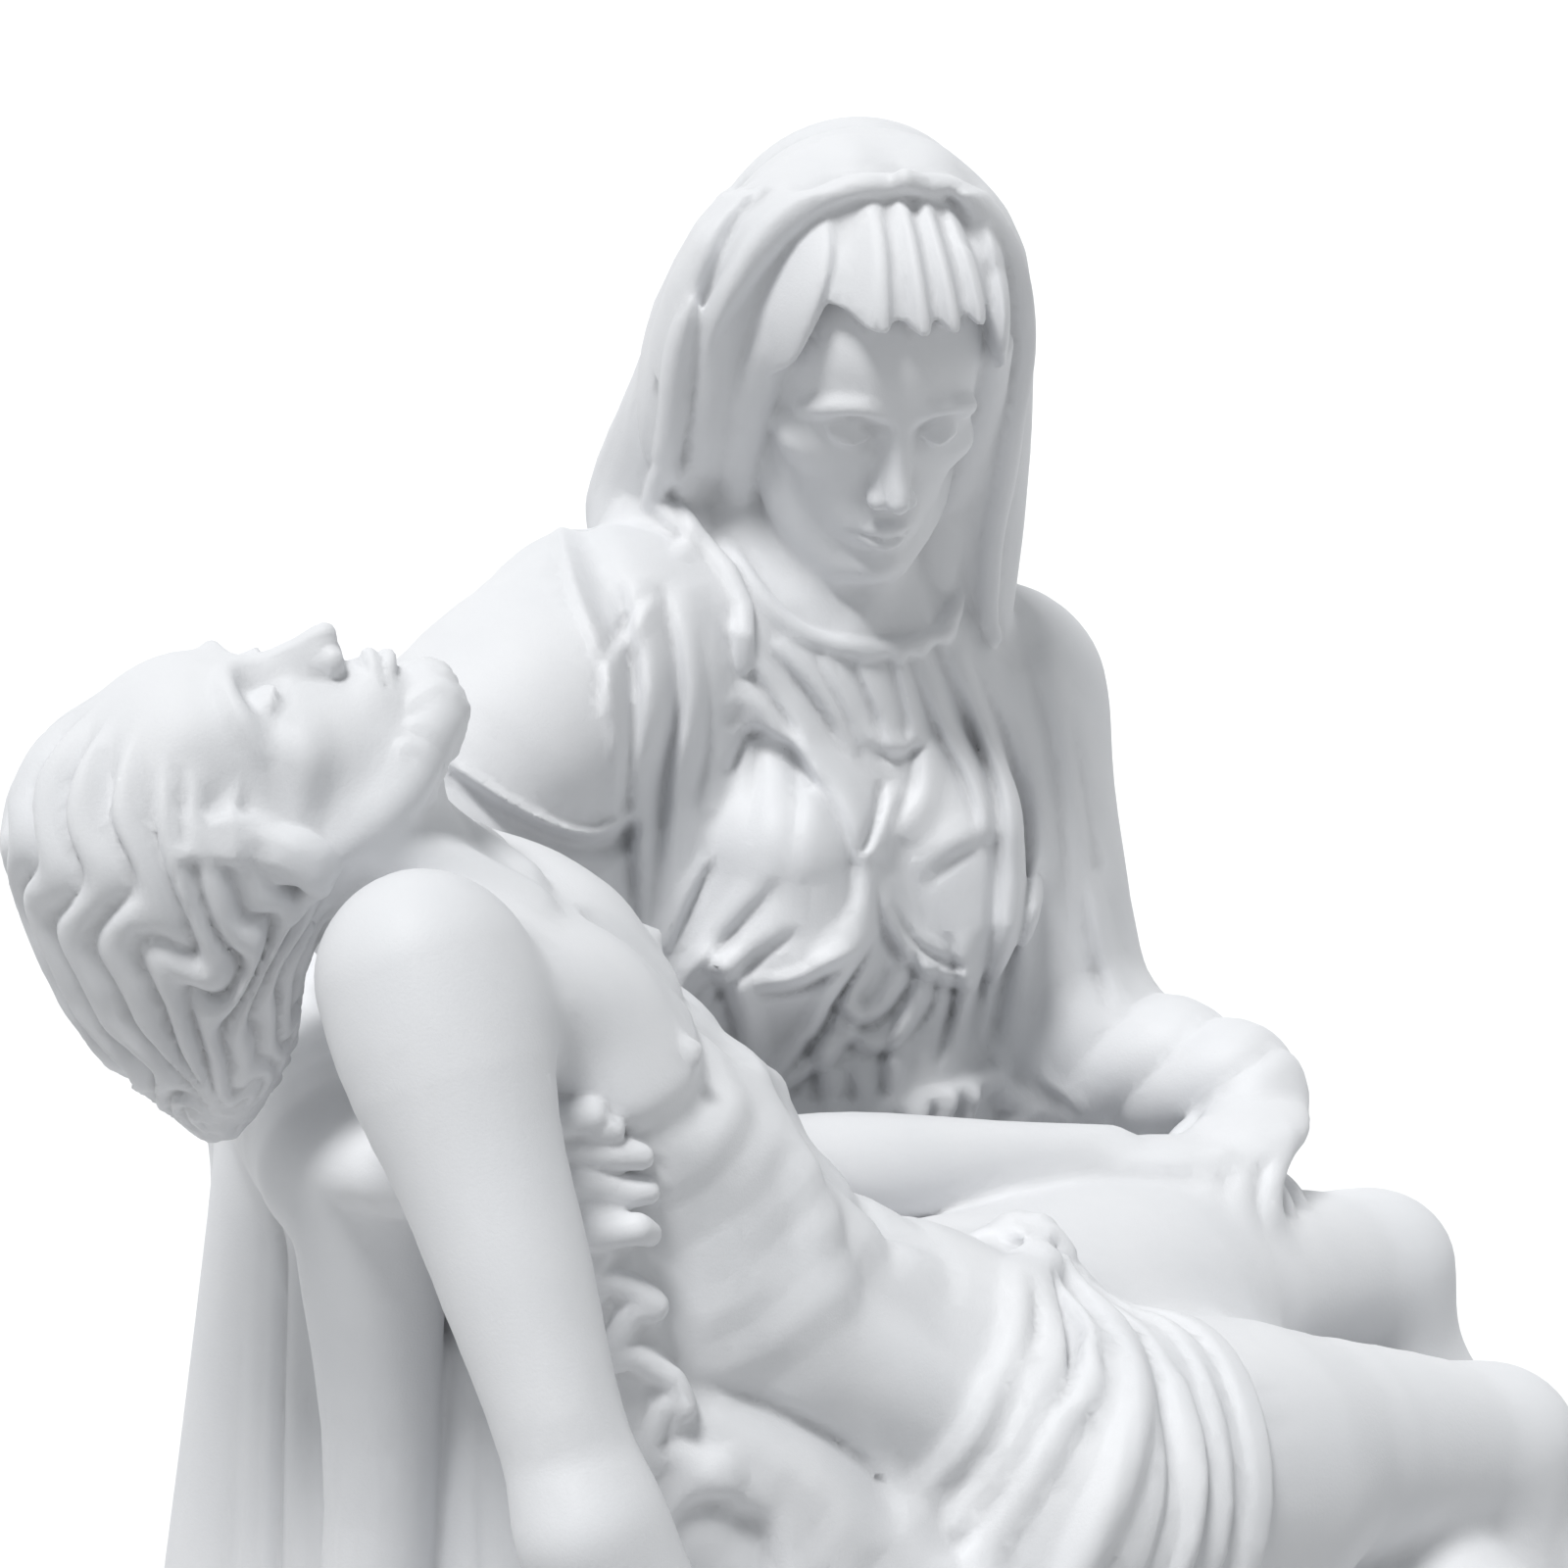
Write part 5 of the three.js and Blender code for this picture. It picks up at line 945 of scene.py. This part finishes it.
def foot(clay, ankle, toes, inward):
    """A foot from its ankle toward its toes, with its big toe on the inward side."""
    body = Body(ankle, toes, at(0.2, -0.7, 0.7))
    s = math.copysign(1, np.dot(body.x, inward))
    clay.add(Egg(body, 0, -6, -5, 5.6, 6.5, 7.5), 4)
    clay.add(tube([body.at(0, -1, -6), body.at(0, 0, 4), body.at(s, -2, 15), body.at(s, -4, 25)],
                  [5.6, 6.2, 6, 4.8]), 4)
    clay.add(tube([body.at(0, -8, -4), body.at(-3 * s, -8, 10), body.at(-5 * s, -6.5, 24)],
                  [5, 4.2, 3.8]), 4)
    clay.add(tube([body.at(5 * s, -5, 27), body.at(-s, -5, 28), body.at(-6.5 * s, -6, 25)],
                  [4.4, 4.2, 3.6]), 4)
    for side, z in ((s, -1), (-s, 1)):
        clay.add(Egg(body, 5.2 * side, 0, z, 1.8, 2.6, 2.6), 2)
    # The toes, from the big one outwards
    each_toe = ((6.2, -5, 28, 10, 2.9), (1.7, -5, 29.5, 9.5, 2.0), (-1.9, -5.5, 29, 8.5, 1.9),
                (-5.2, -6, 27.5, 7.5, 1.8), (-8.2, -7, 25, 6.5, 1.7))
    for x, y, z, length, radius in each_toe:
        joint = body.at(x * s, y + 1, z + 0.45 * length)
        clay.add(tube([body.at(x * s, y, z - 2), joint, body.at(x * s, y - 1.6, z + length)],
                      [radius, radius, 0.9 * radius]), 0.5)


def muscle(clay, shoulder, elbow, wrist, size):
    """The upper arm and the forearm, with the muscles that show."""
    bone = unit(elbow - shoulder)
    bend = unit(np.cross(bone, np.cross(wrist - elbow, bone)) + 0.01)  # the inside of the elbow
    across = np.cross(bone, bend)
    upper = [shoulder, mix(shoulder, elbow, 0.35), mix(shoulder, elbow, 0.75), elbow]
    clay.add(tube(upper, [8.6 * size, 8 * size, 6.6 * size, 6.8 * size]), 7)
    run = [mix(shoulder, elbow, t) for t in (0.22, 0.48, 0.78)]
    clay.add(tube([p + 2.4 * bend for p in run], [4.4 * size, 6.6 * size, 4.2 * size]), 4)
    clay.add(tube([p - 2.2 * bend + across for p in run], [4.4 * size, 6.2 * size, 4.2 * size]), 4)
    clay.add(tube([shoulder, mix(shoulder, elbow, 0.16), mix(shoulder, elbow, 0.4)], [9.6, 10, 5.4]), 5)
    lower = [elbow, mix(elbow, wrist, 0.3), mix(elbow, wrist, 0.7), wrist]
    clay.add(tube(lower, [6.6 * size, 7.4 * size, 5.6 * size, 4.6 * size]), 4)
    outer = [mix(shoulder, elbow, 0.86) + 2 * across, mix(elbow, wrist, 0.24) + 2.4 * across,
             mix(elbow, wrist, 0.6)]
    clay.add(tube(outer, [3.4 * size, 5 * size, 3.6 * size]), 3)
    clay.add(Limb(elbow - 3.6 * bend, elbow - 2.6 * bend - 3 * bone, 3.4, 3), 3)


def arms(clay):
    """The right arm hangs; the left lies along his belly."""
    shoulders, elbows, wrists = MAN["shoulders"], MAN["elbows"], MAN["wrists"]
    for side, size in ((1, 1), (-1, 0.95)):
        muscle(clay, shoulders[side], elbows[side], wrists[side], size)
    hand(clay, Body(wrists[1], at(0.2, -0.05, -1), at(0.5, 0.85, 0)), 37, 0.3, -1)
    hand(clay, Body(wrists[-1], at(0.93, -0.3, -0.16), at(0, -0.1, -1)), 36, 0.24, -1)


def loincloth(clay):
    """The cloth round his hips, drawn up to a knot at the far side."""
    pelvis, hips, knees = MAN["pelvis"], MAN["hips"], MAN["knees"]
    clay.add(Limb(pelvis.at(0, -1, -3), pelvis.at(0, -1, 8), 21.5, 20.5, 0.84, pelvis.y), 3)
    for side in (1, -1):
        clay.add(tube([hips[side], mix(hips[side], knees[side], 0.38)], [19, 18.5]), 4)
    knot = pelvis.at(-10, 17, 2)
    clay.add(Egg(pelvis, -10, 17, 2, 6, 4.5, 5), 2)

    def fold(up, out):
        return [knot, pelvis.at(4, 20, 4 + up - out), pelvis.at(17, 12, 6 + 1.2 * up - 1.6 * out),
                pelvis.at(22, -4, 6 + 1.3 * up - 2.2 * out), pelvis.at(17, -19, 4 + 1.2 * up - 2.4 * out)]

    clay.folds(fold(7, 0), fold(-8, 9), 7, 2.4, 0.6, 1.8, valley=0.4)
    clay.folds(fold(6, 1), fold(-7, 10), 9, 1.0, 1.2, 1.2, valley=0.25)


def hair(clay):
    """His neck and his hair: long wavy locks, combed back from the brow and hanging to a point, and a
    short beard."""
    skull, chest, h = MAN["head"], MAN["chest"], MAN["head_height"]

    def spot(x, y, z):
        return skull.at(x * h, y * h, z * h)

    # The neck, with its two cords
    clay.add(tube([chest.at(2, -1, 26), spot(0.02, -0.14, -0.32), spot(0, -0.05, -0.14)],
                  [9.5, 9.5, 10.5]), 5)
    for s in (1, -1):
        top, foot = spot(0.2 * s, -0.03, -0.3), chest.at(3 * s, 10, 29)
        clay.add(tube([top, mix(top, foot, 0.5), foot], [3, 2.8, 2.4]), 3)

    def locks(u, v, w):
        """Locks that run back from the brow and swing more and more on the way."""
        aside = w - 0.06 * h - 0.05 * v
        angle = np.arctan2(u, aside)
        away = np.maximum(np.sqrt(u * u + aside * aside), 6)
        back = 0.3 * h - v
        own = 1.3 * np.sin(3 * angle) + 0.5 * np.sin(7 * angle + 1)
        swing = np.sin(0.25 * back + own) + 0.35 * np.sin(0.52 * back + 2 * own)
        wave = 2.4 * swing * np.minimum(1, back / 12) / away
        phase = 23 * (angle + wave + 0.35 * np.exp(-back / 12))
        high = 1 + 0.3 * np.sin(2.4 * angle + 0.14 * back)
        return (2.5 * rolls(phase) * high + 0.2) * np.clip(away / 13, 0.4, 1)

    mass = [[Egg(skull, 0, -0.12 * h, 0.14 * h, 0.335 * h, 0.38 * h, 0.365 * h)],
            tube([spot(0, -0.1, 0.24), spot(0, -0.38, 0.16), spot(0, -0.62, 0.07), spot(0, -0.86, 0.03)],
                 [14, 13.4, 9.5, 3.5])]
    clay.add(Relief(mass, skull, locks), 0.8)
    # Locks over the ear, bent back along the jaw
    for s in (1, -1):
        for low in (0.0, 0.035, 0.07):
            lock = [spot(0.29 * s, 0.06 - low, 0.2), spot(0.33 * s, 0.07 - low, 0.06),
                    spot(0.345 * s, 0.05 - low, -0.06), spot(0.33 * s, -0.02 - low, -0.13),
                    spot(0.3 * s, -0.12 - low, -0.15 + low)]
            clay.lay(curve(lock, 16), 1.5, 0.8, 0.6, -0.2)
    # The beard: short curls along the jaw and the chin
    clay.add(Egg(skull, 0, 0.235 * h, -0.43 * h, 0.16 * h, 0.1 * h, 0.085 * h), 2)
    for s in (1, -1):
        for i in range(5):
            t = i / 7
            root = mix(at(0.025, 0.33, -0.45), at(0.25, 0.02, -0.24), t)
            for row in range(3):
                p = spot(s * (root[0] + 0.01 * row), root[1] - 0.055 * row, root[2] - 0.035 * row)
                bend = skull.x * s * math.sin(2.2 * i + row)
                curl = [p, p + 1.4 * skull.y - 1.1 * skull.z + 0.6 * bend,
                        p + 0.4 * skull.y - 2.8 * skull.z + 1.2 * bend]
                clay.lay(curl, 0.7, 0.5, 0.5, -0.3)


def ruffle(clay):
    """The gathered edge of the cloth under his side, from the armpit to the hip."""
    edge = curve([at(-112, -47, 176), at(-107, -52, 163), at(-102, -56, 149), at(-98, -57, 136),
                  at(-93, -58, 123)], 96)
    clay.add(tube([at(-105, -42, 160), at(-98, -46, 142), at(-90, -50, 124), at(-76, -54, 108)],
                  [8, 10, 12, 15]), 6)
    along = np.gradient(edge, axis=0)
    along /= np.linalg.norm(along, axis=1, keepdims=True)
    aside = np.cross(along, PICTURE.y)
    aside /= np.linalg.norm(aside, axis=1, keepdims=True)
    n = np.arange(len(edge))[:, None]
    phase = 0.36 * n + 0.8 * np.sin(0.13 * n)
    # A ribbon folded to and fro, on its side
    rim = edge + aside * 2.3 * np.tanh(1.6 * np.sin(phase)) + along * 1.2 * np.sin(2 * phase)
    clay.add(strand(edge + 1.5 * PICTURE.y, 3.4, 0.8), 1)
    for rise in (-1.4, 0.0, 1.4, 2.6):
        lean = aside * 0.7 * rise * np.cos(phase)
        clay.add(strand(rim - PICTURE.y * rise + lean, 1.45, 0.8), 0.4, 2)
    # Rolls of cloth that come out from under his flank, over her lap
    strokes = [
        ([(10, -86), (4.5, -78), (-3, -72.5), (-13, -67.5)], 2.4, 3.2, 1.7),
        ([(-16, -85), (-13, -77.5), (-7, -75.5), (-1, -80), (3, -89)], 1.7, 2.4, 0.9),
        ([(-5, -79), (-2, -82), (-1, -88)], -1.4, 2.0, 0),
    ]
    clay.emboss(strokes, at(-98, -78, 94), at(-46, -18, 142))


# From clay to a mesh

def soften(values):
    """Evens out each sample a little with its neighbours."""
    share = 0.17
    for axis in range(3):
        v = np.moveaxis(values, axis, 0)
        v[1:-1] = v[1:-1] * np.float32(1 - 2 * share) + (v[:-2] + v[2:]) * np.float32(share)


def surface(clay):
    """The surface where the samples change sign: one vertex in each cell that it crosses."""
    values = clay.values
    soften(values)
    inside = values < 0
    nx, ny, nz = values.shape
    corners = [(a, b, c) for a in (0, 1) for b in (0, 1) for c in (0, 1)]
    some = np.zeros((nx - 1, ny - 1, nz - 1), dtype=bool)
    every = np.ones_like(some)
    for a, b, c in corners:
        part = inside[a:nx - 1 + a, b:ny - 1 + b, c:nz - 1 + c]
        some |= part
        every &= part
    some &= ~every
    cells = np.flatnonzero(some.ravel())
    index = np.full(some.size, -1, dtype=np.int32)
    index[cells] = np.arange(len(cells), dtype=np.int32)
    index = index.reshape(some.shape)
    i, j, k = np.unravel_index(cells, some.shape)
    total = np.zeros((len(cells), 3))
    count = np.zeros(len(cells))
    for axis in range(3):
        for p in (0, 1):
            for q in (0, 1):
                start = [0, 0, 0]
                start[(axis + 1) % 3], start[(axis + 2) % 3] = p, q
                end = list(start)
                end[axis] = 1
                u = values[i + start[0], j + start[1], k + start[2]]
                v = values[i + end[0], j + end[1], k + end[2]]
                crossed = (u < 0) != (v < 0)
                t = np.where(crossed, u / np.where(crossed, u - v, 1), 0)
                place = np.array(start, dtype=float)[None, :] + t[:, None] * (np.arange(3) == axis)
                total += np.where(crossed[:, None], place, 0)
                count += crossed
    share = total / count[:, None]
    points = np.stack([axis[n] + share[:, a] * (axis[n + 1] - axis[n])
                       for a, (axis, n) in enumerate(zip(clay.axes, (i, j, k)))], axis=1)
    quads = []
    for axis in range(3):
        u, v = (axis + 1) % 3, (axis + 2) % 3
        low_end = [slice(1, -1)] * 3
        low_end[axis] = slice(0, -1)
        high_end = list(low_end)
        high_end[axis] = slice(1, None)
        first, second = inside[tuple(low_end)], inside[tuple(high_end)]
        for outward in (True, False):
            crossing = first & ~second if outward else second & ~first
            at_edge = list(np.nonzero(crossing))
            at_edge[u] = at_edge[u] + 1
            at_edge[v] = at_edge[v] + 1
            ring = []
            for du, dv in ((-1, -1), (0, -1), (0, 0), (-1, 0)):
                cell = list(at_edge)
                cell[u] = cell[u] + du
                cell[v] = cell[v] + dv
                ring.append(index[tuple(cell)])
            quads.append(np.stack(ring if outward else ring[::-1], axis=1))
    return points, np.concatenate(quads)


def placed(name, data):
    """A new object in the scene, made from a mesh, a light or a camera."""
    made = bpy.data.objects.new(name, data)
    bpy.context.scene.collection.objects.link(made)
    return made


def mesh_object(name, points, faces):
    """An object from arrays of points and of faces with the same number of corners each."""
    mesh = bpy.data.meshes.new(name)
    count, corners = faces.shape
    mesh.vertices.add(len(points))
    mesh.vertices.foreach_set("co", np.asarray(points, dtype=np.float32).ravel())
    mesh.loops.add(count * corners)
    mesh.loops.foreach_set("vertex_index", np.asarray(faces, dtype=np.int32).ravel())
    mesh.polygons.add(count)
    mesh.polygons.foreach_set("loop_start", np.arange(0, count * corners, corners, dtype=np.int32))
    mesh.update(calc_edges=True)
    return placed(name, mesh)


def simplified(made, faces):
    """The object's mesh with about so many triangles."""
    triangles = len(made.data.loops) - 2 * len(made.data.polygons)
    modifier = made.modifiers.new("fewer", "DECIMATE")
    modifier.ratio = min(1, faces / triangles)
    graph = bpy.context.evaluated_depsgraph_get()
    result = bpy.data.meshes.new_from_object(made.evaluated_get(graph))
    made.modifiers.clear()
    return result


def model_group():
    """Models both figures, from the seat outwards."""
    clay = Clay(GRID_LOW, GRID_HIGH)
    for step in (seat, mantle, skirt, skirt_folds, bodice, right_arm, mantle_front, left_arm, bodice_folds):
        step(clay)
    head(clay, WOMAN["head"], WOMAN["head_height"])
    for step in (veil, trunk, legs, loincloth, ruffle):
        step(clay)
    head(clay, MAN["head"], MAN["head_height"], 1.06)
    for step in (hair, right_hand, arms):
        step(clay)
    np.maximum(clay.values, FOOT - clay.axes[2][None, None, :], out=clay.values)
    return clay


def in_frame(points):
    """Points of the figures, in parts, as places in the frame, in metres."""
    return (np.asarray(points) + SETTING) * PART + np.array([0, 0, PLINTH_HEIGHT])


def figures():
    """Both figures as one closed mesh, with its foot sunk into the plinth."""
    points, quads = surface(model_group())
    rough = mesh_object("figures_rough", points, quads)
    mesh = simplified(rough, FACES)
    bpy.data.objects.remove(rough)
    count = len(mesh.vertices)
    places = np.empty(count * 3, dtype=np.float32)
    mesh.vertices.foreach_get("co", places)
    mesh.vertices.foreach_set("co", in_frame(places.reshape(-1, 3)).astype(np.float32).ravel())
    mesh.update()
    return placed("figures", mesh)


def plinth():
    """A rounded rectangle with a rounded bevel round its top edge."""
    corner_steps, bevel_steps = 12, 6

    def outline(inset):
        radius = PLINTH_CORNER - inset
        x, y = PLINTH_LENGTH / 2 - PLINTH_CORNER, PLINTH_DEPTH / 2 - PLINTH_CORNER
        corners = ((x, y), (-x, y), (-x, -y), (x, -y))
        places = []
        for turn, (corner_x, corner_y) in enumerate(corners):
            for i in range(corner_steps + 1):
                a = (turn + i / corner_steps) * math.pi / 2
                places.append((corner_x + radius * math.cos(a), corner_y + radius * math.sin(a)))
        return places

    rings = [(FOOT_EASE, 0), (0, FOOT_EASE)]
    for i in range(bevel_steps + 1):
        a = i / bevel_steps * math.pi / 2
        rings.append((PLINTH_BEVEL * (1 - math.cos(a)), PLINTH_HEIGHT - PLINTH_BEVEL * (1 - math.sin(a))))
    points = [(x, y, z) for inset, z in rings for x, y in outline(inset)]
    around = len(outline(0))
    faces = [tuple(range(around))[::-1]]
    for ring in range(len(rings) - 1):
        for i in range(around):
            j = (i + 1) % around
            a, b = ring * around, (ring + 1) * around
            faces.append((a + i, a + j, b + j, b + i))
    faces.append(tuple(range((len(rings) - 1) * around, len(rings) * around)))
    mesh = bpy.data.meshes.new("plinth")
    mesh.from_pydata(points, [], faces)
    return placed("plinth", mesh)


# The finish

class Nodes:
    """A short way to add nodes to a tree and to join them."""

    def __init__(self, tree):
        self.tree = tree

    def add(self, kind, **values):
        node = self.tree.nodes.new(kind)
        for name, value in values.items():
            if hasattr(node, name):
                setattr(node, name, value)
            else:
                node.inputs[name.replace("_", " ")].default_value = value
        return node

    def join(self, out, socket):
        self.tree.links.new(out, socket)


def cast_marble():
    """Matt white bonded marble: faint clouding, fine grain and a thin skin of wear, with painted shade that
    darkens its crevices.
    """
    material = bpy.data.materials.new("cast_marble")
    material.use_nodes = True
    nodes = Nodes(material.node_tree)
    shader = material.node_tree.nodes["Principled BSDF"]
    shader.inputs["Specular IOR Level"].default_value = 0.35
    place = nodes.add("ShaderNodeTexCoord")
    cloud = nodes.add("ShaderNodeTexNoise", Scale=38.0, Detail=4.0, Roughness=0.55)
    grain = nodes.add("ShaderNodeTexNoise", Scale=2600.0, Detail=2.0, Roughness=0.6)
    nodes.join(place.outputs["Object"], cloud.inputs["Vector"])
    nodes.join(place.outputs["Object"], grain.inputs["Vector"])
    tint = nodes.add("ShaderNodeValToRGB")
    tint.color_ramp.elements[0].position = 0.3
    tint.color_ramp.elements[0].color = (0.74, 0.75, 0.77, 1)
    tint.color_ramp.elements[1].position = 0.7
    tint.color_ramp.elements[1].color = (0.79, 0.795, 0.81, 1)
    nodes.join(cloud.outputs["Fac"], tint.inputs["Fac"])
    # Painted shade: the colour is darkened in the crevices, where the surface is hollow
    form = nodes.add("ShaderNodeNewGeometry")
    hollow = nodes.add("ShaderNodeMapRange", From_Min=0.40, From_Max=0.5, To_Min=0.62, To_Max=1.0)
    nodes.join(form.outputs["Pointiness"], hollow.inputs["Value"])
    shade = nodes.add("ShaderNodeVectorMath", operation="SCALE")
    nodes.join(tint.outputs["Color"], shade.inputs["Vector"])
    nodes.join(hollow.outputs["Result"], shade.inputs["Scale"])
    nodes.join(shade.outputs["Vector"], shader.inputs["Base Color"])
    gloss = nodes.add("ShaderNodeMapRange")
    gloss.inputs["To Min"].default_value = 0.5
    gloss.inputs["To Max"].default_value = 0.64
    nodes.join(cloud.outputs["Fac"], gloss.inputs["Value"])
    nodes.join(gloss.outputs["Result"], shader.inputs["Roughness"])
    bump = nodes.add("ShaderNodeBump", Strength=0.12, Distance=0.0003)
    nodes.join(grain.outputs["Fac"], bump.inputs["Height"])
    nodes.join(bump.outputs["Normal"], shader.inputs["Normal"])
    return material


def joined(*pieces):
    """Pieces as one object."""
    with bpy.context.temp_override(active_object=pieces[0], selected_editable_objects=list(pieces)):
        bpy.ops.object.join()
    return pieces[0]


statue = joined(figures(), plinth())
statue.name = "pieta_cast"
statue.data.name = "pieta_cast"
statue.data.materials.clear()
statue.data.materials.append(cast_marble())
statue.data.shade_smooth()
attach(statue, "root")
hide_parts(STATUE)


# The floor, the lights and the camera

def floor():
    """A pale floor that curves up far behind the piece."""
    near, reach, rise, bend, half_width = -6.0, 3.0, 5.0, 2.0, 7
    clear = 0.0005  # it lies this far under the foot
    bend_steps = 16
    profile = [(near, -clear), (reach - bend, -clear)]
    for i in range(1, bend_steps + 1):
        a = i / bend_steps * math.pi / 2
        profile.append((reach - bend + bend * math.sin(a), bend * (1 - math.cos(a)) - clear))
    profile.append((reach, rise))
    a = math.radians(AZIMUTH)
    ahead, aside = Vector((math.sin(a), math.cos(a), 0)), Vector((math.cos(a), -math.sin(a), 0))
    points = [ahead * d + aside * w + Vector((0, 0, z))
              for d, z in profile for w in (-half_width, half_width)]
    faces = [(2 * i, 2 * i + 1, 2 * i + 3, 2 * i + 2) for i in range(len(profile) - 1)]
    mesh = bpy.data.meshes.new("floor")
    mesh.from_pydata(points, [], faces)
    mesh.shade_smooth()
    material = bpy.data.materials.new("pale_floor")
    material.use_nodes = True
    shader = material.node_tree.nodes["Principled BSDF"]
    shader.inputs["Roughness"].default_value = 0.9
    # Grey under the piece and in front of it, so that it throws less light up, and white behind it
    nodes = Nodes(material.node_tree)
    place = nodes.add("ShaderNodeTexCoord")
    behind = nodes.add("ShaderNodeVectorMath", operation="DOT_PRODUCT")
    behind.inputs[1].default_value = ahead
    nodes.join(place.outputs["Object"], behind.inputs[0])
    tone = nodes.add("ShaderNodeMapRange", From_Min=-0.1, From_Max=0.28, To_Min=0.5, To_Max=0.93)
    nodes.join(behind.outputs["Value"], tone.inputs["Value"])
    nodes.join(tone.outputs["Result"], shader.inputs["Base Color"])
    mesh.materials.append(material)
    placed("floor", mesh)


def sun(toward, strength, softness):
    """One soft light from a direction."""
    data = bpy.data.lights.new("studio_light", "SUN")
    data.energy = strength
    data.angle = math.radians(softness)
    placed("studio_light", data).rotation_euler = Vector(toward).to_track_quat("Z", "Y").to_euler()


def camera(target, azimuth, elevation, span):
    """Looks at a target with so many metres of the piece across the picture."""
    data = bpy.data.cameras.new("camera")
    data.lens, data.sensor_width = 85, 36
    data.clip_start = 0.01
    a, e = math.radians(azimuth), math.radians(elevation)
    look = Vector((math.sin(a) * math.cos(e), math.cos(a) * math.cos(e), -math.sin(e)))
    made = placed("camera", data)
    made.location = Vector(target) - look * (span * data.lens / data.sensor_width)
    made.rotation_euler = look.to_track_quat("-Z", "Y").to_euler()
    bpy.context.scene.camera = made


floor()
world = bpy.data.worlds.new("studio")
world.use_nodes = True
world.node_tree.nodes["Background"].inputs["Color"].default_value = (0.94, 0.975, 1.0, 1)
world.node_tree.nodes["Background"].inputs["Strength"].default_value = 0.33
bpy.context.scene.world = world
bpy.context.scene.view_settings.view_transform = "Standard"
sun(toward=(-0.43, -0.2, 0.88), strength=2.6, softness=16)
camera(in_frame(MIDDLE), AZIMUTH, ELEVATION, SPAN)
